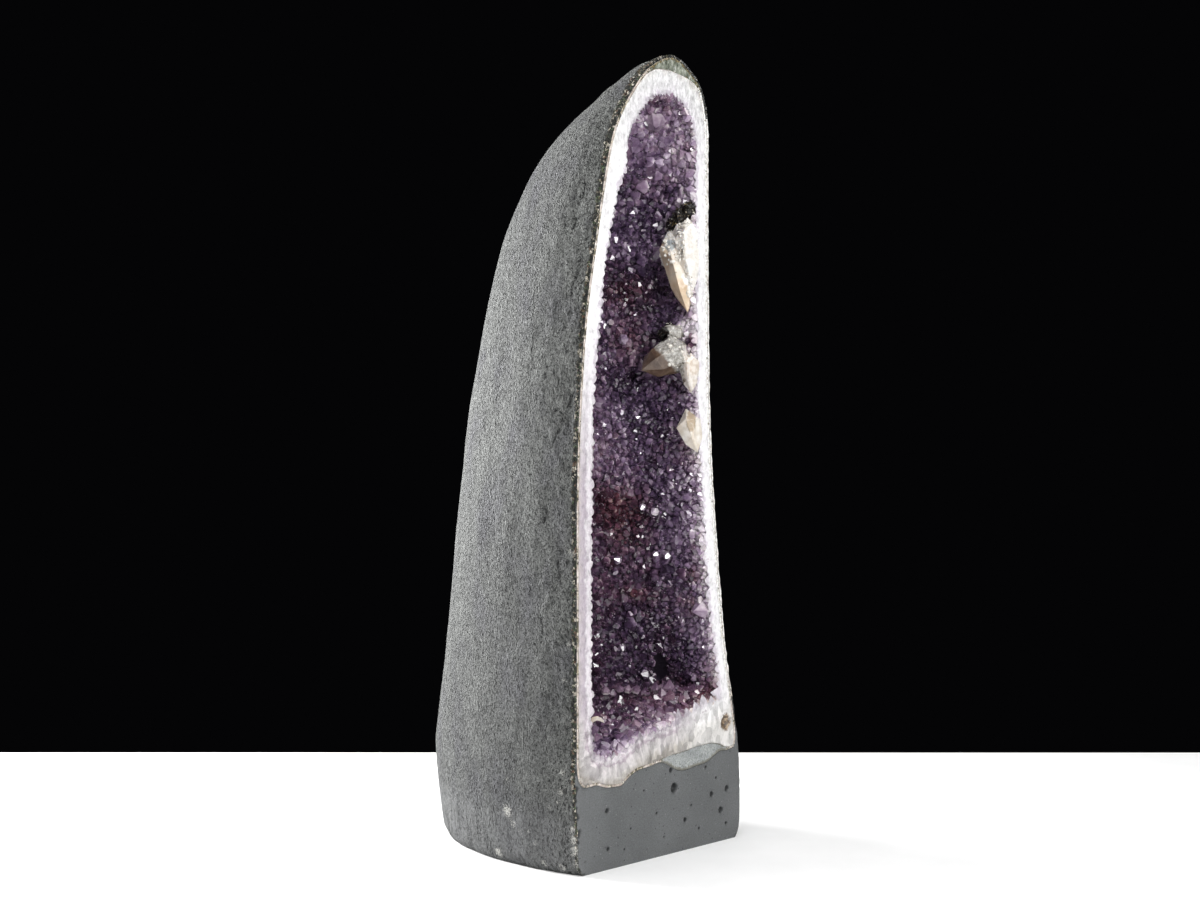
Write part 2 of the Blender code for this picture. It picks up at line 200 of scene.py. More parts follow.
def body_section(h, columns):
    """The stone's outline at one height: an ellipse cut by the sawn face, from its left edge to its right."""
    left, right, depth = face_left(h), face_right(h), body_depth(h)
    forward = BELLY * depth
    back = depth - forward
    half = (right - left) / 2
    wide = half / sqrt(1 - (forward / back) ** 2)
    start = np.arcsin(forward / back)
    turn = (pi + 2 * start) * np.linspace(0, 1, columns + 1) ** CLOSER_AT_LEFT - start
    u = (left + right) / 2 - wide * np.cos(turn)
    v = forward + back * np.sin(turn)
    v[0] = v[-1] = 0
    return np.stack([u, v, np.full(columns + 1, float(h))], 1)


def running_length(points):
    """How far along a line each of its points is."""
    return np.concatenate([[0], np.cumsum(np.linalg.norm(np.diff(points, axis=0), axis=1))])


def side_points(chain, count):
    """Evenly spaced points along one side of an outline."""
    chain = np.array(chain, float)
    length = running_length(chain)
    fine = np.linspace(0, length[-1], OUTLINE_STEPS)
    u, h = curve_through(length, chain[:, 0])(fine), curve_through(length, chain[:, 1])(fine)
    run = np.concatenate([[0], np.cumsum(np.hypot(np.diff(u), np.diff(h)))])
    wanted = np.linspace(0, run[-1], count + 1)
    return np.stack([np.interp(wanted, run, u), np.interp(wanted, run, h)], 1)


def bowl(left, right, count, stations, lining=0):
    """A hollow behind an outline, as columns of points at stations of their way to the spine.

    A lining goes deeper by what the quartz reaches behind the crystals.
    """
    loop = np.concatenate([side_points(left, count)[:-1], side_points(right, count)[:0:-1]])
    turns = np.linspace(0, pi / 2, ARC_STEPS)
    columns = []
    for i, (u, h) in enumerate(loop):
        middle = min(max((h + loop[-i % len(loop)][1]) / 2, SPINE_FOOT), SPINE_TOP)
        power = 2 / spine_square(middle)
        across, back = np.cos(turns) ** power, np.sin(turns) ** power
        across[-1] = 0
        centre = spine_u(middle)
        deep = spine_depth(middle) + lining * quartz_behind(middle)
        fine = np.stack([centre + (u - centre) * across, deep * back, middle + (h - middle) * across], 1)
        length = running_length(fine)
        wanted = np.asarray(stations) * length[-1]
        columns.append(np.stack([np.interp(wanted, length, fine[:, k]) for k in range(3)], 1))
    return np.array(columns)


def rim(columns):
    """A bowl's outline on the sawn face, as u and h."""
    return columns[:, 0][:, [0, 2]]


def outward(columns):
    """Unit vectors out of the hollow, into the stone, at each point of a bowl; straight back at its spine."""
    around = np.roll(columns, -1, 0) - np.roll(columns, 1, 0)
    along = np.gradient(columns, axis=1)
    normals = np.cross(around, along)
    normals[:, -1] = (0, 1, 0)
    normals[:, 0, 1] = 0
    normals /= np.maximum(np.linalg.norm(normals, axis=2, keepdims=True), 1e-9)
    return normals


def grown(columns, by):
    """The bowl moved out into the stone by a distance, or by one distance for each of its points."""
    return columns + outward(columns) * np.broadcast_to(by, columns.shape[:2])[..., None]


def rind_thickness(quartz):
    """How thick the green rind is outside each point of the quartz."""
    edge = np.array([(side(h), h) for side in (face_left, face_right) for h in np.linspace(0, HEIGHT, 400)])
    thickness = np.full(quartz.shape[:2], float(RIND_THIN))
    for i, column in enumerate(quartz):
        u, h = column[0, [0, 2]]
        room = np.linalg.norm(edge - (u, h), axis=1).min() - SKIN_AT_FACE - 2 * GAP
        lens = np.exp(-(((u - LENS_AT) / LENS_SPREAD) ** 4)) * (h < LENS_BELOW)
        crown = min(max((h - CROWN_FROM) / CROWN_RISE, 0), 1)
        wanted = LENS_THICKNESS * lens + max(room - RIND_THIN, 0) * crown
        thickness[i] += max(min(wanted, room - RIND_THIN), 0) * np.exp(-column[:, 1] / CROWN_FADE)
    return thickness


rng = random.Random(11)
draw = np.random.default_rng(5)


class Sheet:
    """Points and faces gathered into one mesh, with three numbers for each point and a slot for each face."""

    def __init__(self):
        self.points = []
        self.faces = []
        self.slots = []
        self.marks = []
        self.count = 0

    def add(self, points, faces, slot=0, marks=(0, 0, 0)):
        points = np.asarray(points, float).reshape(-1, 3)
        self.points.append(points)
        self.marks.append(np.broadcast_to(marks, (len(points), 3)))
        self.faces += [tuple(i + self.count for i in face) for face in faces]
        self.slots += list(np.broadcast_to(slot, len(faces)))
        self.count += len(points)

    def piece(self, name, materials, replaces=None, weld=True, smooth=False):
        """One object of all that was added, inside the stone's box, with a random number for each face."""
        mesh = bpy.data.meshes.new(name)
        points = np.clip(to_metres(np.concatenate(self.points)), cad_low, cad_high)
        mesh.from_pydata(points.tolist(), [], self.faces)
        for material in materials:
            mesh.materials.append(material)
        mesh.polygons.foreach_set("material_index", [int(i) for i in self.slots])
        mark = mesh.attributes.new("mark", "FLOAT_VECTOR", "POINT")
        mark.data.foreach_set("vector", np.concatenate(self.marks).astype(np.float32).reshape(-1))
        if weld:
            bm = bmesh.new()
            bm.from_mesh(mesh)
            bmesh.ops.remove_doubles(bm, verts=bm.verts, dist=1e-6)
            bmesh.ops.recalc_face_normals(bm, faces=bm.faces)
            bm.to_mesh(mesh)
            bm.free()
        mesh.polygons.foreach_set("use_smooth", [smooth] * len(mesh.polygons))
        facet = mesh.attributes.new("facet", "FLOAT", "FACE")
        facet.data.foreach_set("value", draw.random(len(mesh.polygons)))
        obj = bpy.data.objects.new(name, mesh)
        bpy.context.scene.collection.objects.link(obj)
        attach(obj, "root")
        if replaces:
            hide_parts(replaces)
        return obj


def grid_faces(rows, columns, wrap=False):
    """Quads of a grid of points, row after row."""
    faces = []
    for i in range(rows if wrap else rows - 1):
        low, high = i * columns, ((i + 1) % rows) * columns
        for j in range(columns - 1):
            faces.append((low + j, high + j, high + j + 1, low + j + 1))
    return faces


def inside(points, loop):
    """Which flat points lie inside a closed outline."""
    a, b = loop, np.roll(loop, -1, 0)
    x, y = points[:, 0][:, None], points[:, 1][:, None]
    crosses = (a[:, 1] > y) != (b[:, 1] > y)
    rise = np.where(b[:, 1] == a[:, 1], 1, b[:, 1] - a[:, 1])
    reach = (b[:, 0] - a[:, 0]) * (y - a[:, 1]) / rise + a[:, 0]
    return (crosses & (x < reach)).sum(1) % 2 == 1


JITTER = 0.25  # how far a filling point strays from its place, as a share of the spacing
CLEAR = 0.45  # how near a filling point may stand to an outline, as a share of the spacing


def ring_between(outer, inner, spacing, more=()):
    """A flat mesh between two closed outlines on the sawn face, as points in u and h, and triangles."""
    low, high = outer.min(0), outer.max(0)
    across, up = np.ceil((high - low) / spacing).astype(int) + 1
    fill = []
    for i in range(across):
        for j in range(up):
            u = low[0] + (i + 0.5 * (j % 2) + rng.uniform(-JITTER, JITTER)) * spacing
            fill.append((u, low[1] + (j + rng.uniform(-JITTER, JITTER)) * spacing))
    fill = np.array(fill)
    fill = fill[inside(fill, outer) & ~inside(fill, inner)]
    loops = np.concatenate([outer, inner])
    near = np.array([np.min(np.sum((loops - p) ** 2, 1)) for p in fill])
    fill = fill[near > (CLEAR * spacing) ** 2]
    flat = [Vector(p) for p in np.concatenate([loops, fill, np.reshape(more, (-1, 2))])]
    edges = [(i, (i + 1) % len(outer)) for i in range(len(outer))]
    edges += [(len(outer) + i, len(outer) + (i + 1) % len(inner)) for i in range(len(inner))]
    points, _, triangles, *_ = delaunay_2d_cdt(flat, edges, [], 0, 1e-5)
    points = np.array([p[:] for p in points])
    triangles = np.array(triangles)
    middles = points[triangles].mean(1)
    keep = inside(middles, outer) & ~inside(middles, inner)
    return points, triangles[keep]


class Signal:
    """What a node gives out, to be reckoned with as if it were a number."""

    def __init__(self, look, socket):
        self.look, self.socket = look, socket

    def __add__(self, other):
        return self.look.math("ADD", self, other)

    def __sub__(self, other):
        return self.look.math("SUBTRACT", self, other)

    def __mul__(self, other):
        return self.look.math("MULTIPLY", self, other)

    def __truediv__(self, other):
        return self.look.math("DIVIDE", self, other)

    def __abs__(self):
        return self.look.math("ABSOLUTE", self)


class Look:
    """A material being put together from nodes, over the object's own coordinates in millimetres."""

    def __init__(self, name):
        self.material = bpy.data.materials.new(name)
        self.material.use_nodes = True
        self.nodes = self.material.node_tree.nodes
        self.links = self.material.node_tree.links
        place = self.node("TexCoord", "Object")
        self.place = self.node("VectorMath", 0, {0: place, "Scale": 1 / MM}, operation="SCALE")

    def feed(self, socket, value):
        """Give a socket a link, a colour or a number."""
        if isinstance(value, Signal):
            self.links.new(value.socket, socket)
        else:
            socket.default_value = (*value, 1) if socket.type == "RGBA" else value

    def node(self, kind, output, inputs=(), **settings):
        """What one output of a new node gives, once it has its settings and inputs."""
        node = self.nodes.new("ShaderNode" + kind)
        for name, value in settings.items():
            setattr(node, name, value)
        for name, value in dict(inputs).items():
            self.feed(node.inputs[name], value)
        return Signal(self, node.outputs[output])

    def math(self, operation, *values):
        return self.node("Math", 0, enumerate(values), operation=operation)

    def stretched(self, stretch, source=None):
        """A place divided along each axis, so that a texture runs longer that way."""
        place = source or self.place
        return self.node("VectorMath", 0, {0: place, 1: stretch}, operation="DIVIDE") if stretch else place

    def noise(self, size, detail=3, rough=0.55, stretch=None, source=None):
        inputs = {"Vector": self.stretched(stretch, source), "Scale": 1 / size, "Detail": detail}
        return self.node("TexNoise", "Fac", {**inputs, "Roughness": rough})

    def cells(self, size, output="Distance", stretch=None):
        return self.node("TexVoronoi", output, {"Vector": self.stretched(stretch), "Scale": 1 / size})

    def dots(self, size, near, far, most=1.0):
        """Dots in the middles of cells, that fade from most to 0 between two shares of the size."""
        return self.ramp(self.cells(size), (near, most), (far, 0.0))

    def split(self, vector, which):
        return self.node("SeparateXYZ", which, {0: vector})

    def at(self, axis):
        """The place along one axis of the object, in mm."""
        return self.split(self.place, axis)

    def marks(self):
        """The three numbers kept for each point."""
        return self.node("Attribute", "Vector", attribute_name="mark")

    def mark(self, which):
        return self.split(self.marks(), which)

    def facet(self):
        """The random number kept for each face."""
        return self.node("Attribute", "Fac", attribute_name="facet")

    def along(self, axis, start, end):
        """How far the place has gone along one axis, from 0 at the start to 1 at the end, in object mm."""
        return self.ramp((self.at(axis) - start) / (end - start), (0.0, 0.0), (1.0, 1.0))

    def ramp(self, signal, *stops):
        """A colour or grey for a number, from stops of a number and its colour or grey."""
        node = self.nodes.new("ShaderNodeValToRGB")
        elements = node.color_ramp.elements
        while len(elements) < len(stops):
            elements.new(0.5)
        for element, (position, colour) in zip(elements, stops):
            element.position = position
            element.color = (*colour, 1) if isinstance(colour, tuple) else (colour, colour, colour, 1)
        self.feed(node.inputs["Fac"], signal)
        return Signal(self, node.outputs["Color"])

    def mix(self, share, a, b, blend="MIX"):
        return self.node("Mix", 2, {0: share, 6: a, 7: b}, data_type="RGBA", blend_type=blend)

    def shade(self, base, by, share=1.0):
        """A colour multiplied by another, or by a grey."""
        return self.mix(share, base, by, "MULTIPLY")

    def spot(self, across, centre, height, wide, tall, ragged=1.0):
        """1 in an upright oval about a place, fading to 0 at its ragged edge."""
        a, b = (across - centre) / wide, (self.at(2) - height) / tall
        apart = a * a + b * b + (self.noise(2.5, 2) - 0.5) * ragged
        return self.ramp(apart, (0.6, 1.0), (1.0, 0.0))

    def bump(self, height, distance_mm, after=None):
        inputs = {"Distance": distance_mm * MM, "Height": height}
        return self.node("Bump", "Normal", {**inputs, "Normal": after} if after else inputs)

    def done(self, base, roughness, bump=None, soft=None, **values):
        """The material, its shader fed; soft is how light spreads inside: weight, radius and reach in mm."""
        values.update(Base_Color=base, Roughness=roughness)
        if bump:
            values["Normal"] = bump
        if soft:
            weight, radius, reach = soft
            values.update(Subsurface_Weight=weight, Subsurface_Radius=radius, Subsurface_Scale=reach * MM)
        for name, value in values.items():
            self.feed(self.nodes["Principled BSDF"].inputs[name.replace("_", " ")], value)
        return self.material


def coat_look():
    """Rough grey cement; marks are the front edge, the pale flecks and the way to the nearest crack in mm."""
    look = Look("grey_cement_coat")
    grain = look.noise(1.5, 2, 0.6, (1, 1, 1.5))
    stringy = look.noise(4.4, 3, 0.6, (1, 1, 1.9))
    blotch = look.noise(30, 4, 0.6, (1, 1, 1.6))
    smooth_foot = look.along(2, 60, 36)
    frayed_and_lit = look.along(1, -76, -104)
    base = look.ramp(
        blotch, (0.32, (0.13, 0.131, 0.141)), (0.5, (0.16, 0.165, 0.161)), (0.7, (0.2, 0.207, 0.199))
    )
    # painted shade: the coat is darker from h 320 down to h 120
    base = look.mix(look.along(2, 320, 120), base, look.shade(base, (0.74, 0.74, 0.74)))
    base = look.mix(smooth_foot * 0.7, base, (0.098, 0.1, 0.102))
    base = look.shade(base, look.ramp(grain, (0.33, 0.34), (0.43, 0.93), (0.64, 1.26)))
    base = look.shade(base, look.ramp(stringy, (0.34, 0.7), (0.48, 0.98), (0.66, 1.2)), 0.7)
    # painted light: the coat is made lighter towards the front edge, where the same mask also roughens it
    base = look.mix(frayed_and_lit, base, look.shade(base, (1.3, 1.3, 1.28)))
    speck = look.ramp(
        look.split(look.cells(1.7, "Color"), 0),
        (0.0, (0.012, 0.013, 0.011)), (0.5, (0.045, 0.047, 0.036)), (0.64, (0.09, 0.13, 0.065)),
        (0.72, (0.15, 0.08, 0.05)), (0.8, (0.2, 0.18, 0.13)), (0.97, (0.72, 0.66, 0.56)),
    )
    near = look.mark(0) + look.along(2, 440, 560) * 0.2 + (look.noise(6, 3, 0.6) - 0.5)
    base = look.mix(look.ramp(near, (0.66, 0.0), (0.88, 1.0)), base, speck)
    splatter = (look.noise(1.2, 4, 0.95) - 0.5) * 2.2
    powder = look.ramp(look.mark(1) + splatter, (0.5, 0.0), (0.66, 0.9))
    base = look.mix(powder, base, (0.6, 0.59, 0.55))
    # painted shade: small pits painted near-black for the shade in them, also sunk by the bump
    shaded_pits = look.noise(2.3, 3, 0.7, (1, 1, 1.9)) + frayed_and_lit * 0.055
    wobble = (look.noise(2.4, 4, 0.85) - 0.5) * 7
    line = look.ramp(abs(look.mark(2) + wobble), (0.5, 0.95), (1.1, 0.0))
    broken = look.ramp(look.noise(5, 3, 0.7), (0.44, 0.0), (0.52, 1.0))
    # the crack mask holds the crack lines and the small pits, whose near-black is painted shade
    crack = look.math("MAXIMUM", look.ramp(shaded_pits, (0.63, 0.0), (0.67, 0.92)), line * broken)
    low = look.ramp(smooth_foot, (0.0, 1.0), (1.0, 0.4))
    dents = look.bump(look.noise(17, 2, 0.5, (1, 1, 2.6)), 17)
    ridges = look.bump(stringy * low, 7, dents)
    grains = look.bump(grain * low * (frayed_and_lit * 0.7 + 1), 8, ridges)
    return look.done(look.mix(crack, base, (0.009, 0.009, 0.01)), 0.85, look.bump(crack * -1, 1.5, grains))


def foot_look():
    """Smooth sawn basalt with fine grains and pinholes; the mark is how deep a gas hole is there. The
    pinholes and the gas holes are painted dark, painted shade.
    """
    look = Look("sawn_basalt")
    speck = look.noise(1.1, 3, 0.7)
    base = look.ramp(look.noise(34), (0.3, (0.088, 0.092, 0.094)), (0.7, (0.113, 0.117, 0.12)))
    base = look.shade(base, look.ramp(speck, (0.3, 0.72), (0.7, 1.28)))
    base = look.mix(look.dots(5.3, 0.05, 0.1) * 0.35, base, (0.42, 0.42, 0.4))
    # painted shade: pinholes are dark dots, and the gas holes darken with their depth
    base = look.mix(look.dots(6.1, 0.07, 0.12) * 0.85, base, (0.015, 0.018, 0.02))
    base = look.mix(look.ramp(look.mark(0), (0.05, 0.0), (0.6, 1.0)), base, (0.01, 0.012, 0.013))
    return look.done(base, 0.55, look.bump(speck, 0.25))


def crown_look():
    """Green-grey chalcedony with whitish wisps; the mark is the way in from the rock."""
    look = Look("green_chalcedony")
    threads = look.noise(1.6, 3, 0.7, (1, 1, 4))
    clouds = look.noise(6, 3, 0.6)
    base = look.ramp(
        clouds, (0.3, (0.075, 0.086, 0.064)), (0.5, (0.15, 0.165, 0.13)), (0.68, (0.27, 0.285, 0.24))
    )
    base = look.shade(base, look.ramp(threads, (0.32, 0.5), (0.5, 1.0), (0.7, 1.9)))
    wisps = look.ramp(look.noise(2.6, 4, 0.75, (1, 1, 2.5)), (0.54, 0.0), (0.64, 0.7))
    base = look.mix(wisps, base, (0.55, 0.56, 0.52))
    rim = look.ramp(look.mark(0) + (look.noise(3) - 0.5), (0.22, 1.0), (0.42, 0.0))
    rust = look.ramp(look.noise(2.2, 2), (0.4, (0.05, 0.04, 0.022)), (0.6, (0.2, 0.15, 0.07)))
    base = look.mix(rim * 0.85, base, rust)
    return look.done(base, 0.35, look.bump(threads, 0.5), (0.3, (1.0, 1.0, 0.8), 2.0), IOR=1.54)


def lens_look():
    """Pale grey speckled chalcedony in the sawn foot; the mark is the way in from the rock."""
    look = Look("grey_chalcedony")
    speck = look.noise(1.2, 3, 0.75)
    base = look.ramp(look.noise(12), (0.3, (0.2, 0.215, 0.215)), (0.7, (0.33, 0.345, 0.34)))
    base = look.shade(base, look.ramp(speck, (0.3, 0.45), (0.5, 1.0), (0.7, 1.4)))
    rim = look.ramp(look.mark(0) + (look.noise(2.5, 2) - 0.5), (0.25, 1.0), (0.5, 0.0))
    base = look.mix(rim * 0.75, base, (0.12, 0.11, 0.075))
    return look.done(base, 0.45, look.bump(speck, 0.2))


def seam_look():
    """The thin line between rock and quartz: rosy beige and cream, with dark and rusty grains."""
    look = Look("rind_seam")
    grains = look.split(look.cells(1.5, "Color"), 0)
    dark = look.ramp(
        grains,
        (0.0, (0.03, 0.028, 0.022)), (0.45, (0.13, 0.12, 0.07)),
        (0.65, (0.3, 0.25, 0.17)), (0.9, (0.62, 0.56, 0.47)),
    )
    flush = look.noise(3.2)
    rosy = look.ramp(flush, (0.35, (0.4, 0.33, 0.29)), (0.55, (0.58, 0.51, 0.47)), (0.7, (0.8, 0.76, 0.72)))
    left = look.mix(look.ramp(look.noise(9, 3, 0.65), (0.44, 0.0), (0.54, 1.0)), dark, rosy)
    right = look.ramp(
        grains, (0.0, (0.5, 0.46, 0.41)), (0.3, (0.76, 0.74, 0.71)), (0.9, (0.88, 0.87, 0.85))
    )
    base = look.mix(look.along(0, 0, 20) * look.along(2, 100, 140), left, right)
    return look.done(base, 0.5, look.bump(look.noise(1.4), 0.9), (0.3, (1.0, 0.9, 0.85), 1.5))


IRON_PIT = (160, 92, 4.6, 5.6)  # a rusty hollow low on the right of the quartz: u, h, half width, half height
QUARTZ_IOR = 1.544


def band_look():
    """White quartz; marks are the nearest point of the inner edge, across and up, and the way in from it."""
    look = Look("white_quartz")
    lumps = look.noise(3.6, 4, 0.7, (1, 1, 1.5))
    depth = (look.mark(2) + (look.noise(7, 4, 0.65) - 0.5) * 16) / 20
    plain = look.ramp(
        depth,
        (0.0, (0.62, 0.57, 0.63)), (0.09, (0.81, 0.79, 0.815)),
        (0.65, (0.83, 0.825, 0.825)), (0.9, (0.74, 0.71, 0.685)),
    )
    lilac = look.ramp(
        depth,
        (0.0, (0.63, 0.58, 0.62)), (0.2, (0.67, 0.64, 0.665)), (0.34, (0.4, 0.35, 0.4)),
        (0.48, (0.48, 0.43, 0.47)), (0.8, (0.46, 0.415, 0.41)),
    )
    base = look.mix(look.along(0, -45, -65) * look.along(2, 400, 280), plain, lilac)
    fibres = look.ramp(look.noise(2.2, 4, 0.7, (1, 1, 2.4)), (0.36, 0.6), (0.5, 0.8), (0.62, 0.96))
    base = look.mix(look.along(2, 500, 560), base, look.shade(base, fibres))
    columns = look.ramp(
        depth,
        (0.0, (0.42, 0.365, 0.42)), (0.12, (0.66, 0.62, 0.64)), (0.26, (0.42, 0.35, 0.4)),
        (0.36, (0.6, 0.56, 0.57)), (0.7, (0.56, 0.53, 0.525)), (0.95, (0.4, 0.37, 0.335)),
    )
    rays = look.noise(3.0, 3, 0.6, (1, 1, 7), look.marks())
    columns = look.shade(columns, look.ramp(rays, (0.3, 0.5), (0.5, 1.0), (0.65, 1.25)), 0.6)
    blocks = look.ramp(look.split(look.cells(4.8, "Color", (1, 1, 1.7)), 1), (0.0, 0.56), (1.0, 1.14))
    columns = look.shade(columns, blocks, 0.9)
    pale = look.ramp(depth, (0.0, (0.6, 0.56, 0.6)), (0.2, (0.84, 0.82, 0.83)), (0.9, (0.7, 0.68, 0.66)))
    columns = look.mix(look.along(0, 15, 45), columns, look.shade(pale, blocks, 0.8))
    base = look.mix(look.along(2, 122, 100), base, columns)
    base = look.shade(base, look.ramp(lumps, (0.3, 0.58), (0.5, 1.0), (0.7, 1.12)), 0.75)
    base = look.mix(look.dots(5.5, 0.05, 0.1) * 0.4, base, (0.3, 0.28, 0.27))
    u, h, wide, tall = IRON_PIT
    pit = look.spot(look.at(0), u + CORNER[0] / MM, h, wide + 2, tall + 2, 1.4)
    rust = look.ramp(
        look.noise(2.4), (0.38, (0.022, 0.013, 0.008)), (0.5, (0.12, 0.068, 0.032)), (0.64, (0.4, 0.3, 0.19))
    )
    base = look.mix(pit * 0.95, base, rust)
    relief = look.bump(lumps + blocks, 0.9)
    return look.done(base, 0.3, relief, (0.4, (1.0, 0.9, 1.0), 2.5), IOR=QUARTZ_IOR)


def amethyst_look(name, clear):
    """Glassy quartz; marks are the depth of colour, the warmth of colour and the way up the crystal."""
    look = Look(name)
    facet = look.facet()
    # painted light: each face of a crystal gets a random lighter or darker tone, for faces turned to or from
    # the light
    turned, tip = (facet - 0.5) * -0.27, (look.mark(2) - 0.8) * 0.8
    depth = look.mark(0) + (look.noise(3.6, 4, 0.6) - 0.5) * 0.7 + (turned + tip)
    cool = look.ramp(
        depth,
        (0.0, (0.8, 0.73, 0.79)), (0.2, (0.55, 0.445, 0.56)), (0.42, (0.34, 0.25, 0.365)),
        (0.66, (0.195, 0.13, 0.215)), (0.86, (0.095, 0.058, 0.115)), (1.0, (0.036, 0.022, 0.047)),
    )
    rusty = look.ramp(
        depth,
        (0.0, (0.66, 0.54, 0.48)), (0.35, (0.33, 0.195, 0.19)),
        (0.7, (0.14, 0.048, 0.07)), (1.0, (0.036, 0.013, 0.02)),
    )
    # painted sparkle: pale specks scattered over the crystals
    sparkle_specks = look.dots(2.7, 0.13, 0.22) * look.ramp(look.noise(9, 2), (0.48, 0.1), (0.6, 0.75))
    base = look.mix(sparkle_specks, look.mix(look.mark(1), cool, rusty), (0.62, 0.57, 0.63))
    # painted glints: a few random faces are painted paler, towards near-white
    base = look.mix(look.ramp(facet, (0.986, 0.0), (0.99, 0.35)), base, (0.8, 0.74, 0.8))
    haze = look.node("VolumeAbsorption", 0, {"Color": (0.62, 0.42, 0.72), "Density": 120})
    look.feed(look.nodes["Material Output"].inputs["Volume"], haze)
    ripples, soft = look.bump(look.noise(0.9, 2), 0.05), (0.15, (1.0, 0.75, 1.1), 2.0)
    return look.done(base, 0.18, ripples, soft, IOR=QUARTZ_IOR, Transmission_Weight=clear)


def glint_look():
    """A pale glossy crystal face, a painted glint."""
    look = Look("painted_glint_face")
    glint_white = look.ramp(look.noise(2.0, 3, 0.6), (0.35, (0.78, 0.74, 0.78)), (0.6, (0.95, 0.94, 0.95)))
    return look.done(glint_white, 0.06, IOR=QUARTZ_IOR)


def ground_look():
    """Massive amethyst under and between the crystals; the marks are how dark it is, from deep colour and
    from the pocket's painted shadow, and how white it is.
    """
    look = Look("druse_ground")
    base = look.ramp(look.noise(5, 3, 0.6), (0.35, (0.12, 0.078, 0.135)), (0.65, (0.26, 0.18, 0.28)))
    base = look.mix(look.mark(0), base, (0.008, 0.005, 0.01))
    base = look.mix(look.mark(1), base, (0.74, 0.69, 0.72))
    return look.done(base, 0.35, look.bump(look.noise(2), 0.6))


SLANT = 1.017  # how far the way across the calcites runs to the right for each step back
ACROSS = 26.3  # what the way across them starts from
FROST_FROM = (81, 380)  # where the middle calcite's frost starts: the way across, height
FROST_FALL = 0.75  # how steeply that height falls along the way across


def calcite_look(name, dark, middling, light, marked=lambda look, base: base):
    """Milky calcite with pale veins, and with what else marks it."""
    look = Look(name)
    base = look.ramp(look.noise(11, 3, 0.6), (0.3, dark), (0.5, middling), (0.7, light))
    veins = look.ramp(look.noise(4.5, 4, 0.65, (1, 1, 2.2)), (0.54, 0.0), (0.64, 0.5))
    base = marked(look, look.mix(veins, base, light))
    grain = look.bump(look.noise(1.8, 3, 0.6), 0.35)
    return look.done(base, 0.22, grain, (0.4, (1.0, 0.84, 0.68), 3.0), IOR=1.6)


def across_calcites(look):
    """The way across, from the far left to the near right of the hollow, and a wander to add to it."""
    across = look.at(0) - look.at(1) * SLANT - ACROSS
    return across, (look.noise(5) - 0.5) * 14


def upper_marks(look, base):
    """White towards the sawn face, partly white calcite and partly a painted highlight low on the right, with
    a clear bluish crystal above, sugary grains and a little grime.
    """
    across, wander = across_calcites(look)
    snow = look.ramp(look.noise(4, 4, 0.65), (0.35, (0.7, 0.655, 0.6)), (0.6, (0.88, 0.86, 0.83)))
    # white calcite towards the face, with a painted highlight where it reaches lower on the right
    white_and_highlight = (across + wander + (look.at(2) - 430) * 0.6 - 108) / 12
    base = look.mix(look.ramp(white_and_highlight, (0.3, 0.0), (0.5, 1.0)), base, snow)
    base = look.mix(look.along(2, 464, 474), base, snow)
    base = look.mix(look.spot(across, 96, 462, 6.5, 5.5) * 0.85, base, (0.36, 0.41, 0.43))
    base = look.mix(look.spot(across, 104, 448, 10, 12, 2.0) * 0.8, base, (0.62, 0.55, 0.46))
    return look.mix(look.dots(7.5, 0.06, 0.12, 0.8), base, (0.16, 0.1, 0.06))


def middle_marks(look, base):
    """Grey-white frost over the brown blade, an orange crystal beside it and white ones at the face."""
    across, wander = across_calcites(look)
    left, height = FROST_FROM
    over = look.at(2) + across * FROST_FALL - (height + FROST_FALL * left)
    frost = look.ramp(
        look.noise(2.4, 4, 0.75),
        (0.36, (0.2, 0.19, 0.17)), (0.5, (0.4, 0.39, 0.36)), (0.64, (0.7, 0.68, 0.65)),
    )
    base = look.mix(look.ramp((over + wander * 0.35) / 10, (0.0, 0.0), (0.35, 0.9)), base, frost)
    base = look.mix(look.spot(across, 121, 370, 9, 9) * 0.85, base, (0.56, 0.34, 0.15))
    snow = look.ramp(look.noise(3), (0.35, (0.6, 0.53, 0.46)), (0.6, (0.82, 0.78, 0.74)))
    base = look.mix(look.ramp((across + wander - 104) / 12, (0.5, 0.0), (0.7, 0.85)), base, snow)
    holes = look.dots(4.2, 0.26, 0.34) * look.spot(across, 117, 386, 8, 10)
    black = look.math("MAXIMUM", holes, look.spot(across, 88, 394, 8, 7))
    return look.mix(black, base, (0.012, 0.009, 0.007))


def lower_marks(look, base):
    """A tan heart."""
    across, _ = across_calcites(look)
    return look.mix(look.spot(across, 119, 327, 6, 9, 1.6) * 0.8, base, (0.36, 0.27, 0.17))


def frost_look():
    """Small grey-white quartz crystals that coat the calcite."""
    look = Look("quartz_frost")
    base = look.ramp(
        look.noise(3, 3, 0.6),
        (0.35, (0.58, 0.53, 0.46)), (0.5, (0.72, 0.68, 0.62)), (0.65, (0.86, 0.835, 0.79)),
    )
    grain = look.bump(look.noise(0.8, 2), 0.15)
    return look.done(base, 0.2, grain, (0.6, (1.0, 0.97, 0.94), 3.0), IOR=QUARTZ_IOR)


def goethite_look():
    """Black grains, here and there a face painted golden or pale as a glint."""
    look = Look("black_goethite")
    facet = look.facet()
    base = look.ramp(
        look.noise(1.6, 2),
        (0.45, (0.003, 0.0025, 0.002)), (0.62, (0.014, 0.01, 0.006)), (0.76, (0.07, 0.05, 0.022)),
    )
    # painted glints: a few random faces painted golden or pale
    painted_glitter = look.ramp(
        facet, (0.94, (0.1, 0.07, 0.03)), (0.97, (0.25, 0.19, 0.1)), (0.985, (0.9, 0.87, 0.8))
    )
    base = look.mix(look.ramp(facet, (0.93, 0.0), (0.95, 1.0)), base, painted_glitter)
    return look.done(base, 0.2, look.bump(look.noise(0.6, 2), 0.15))


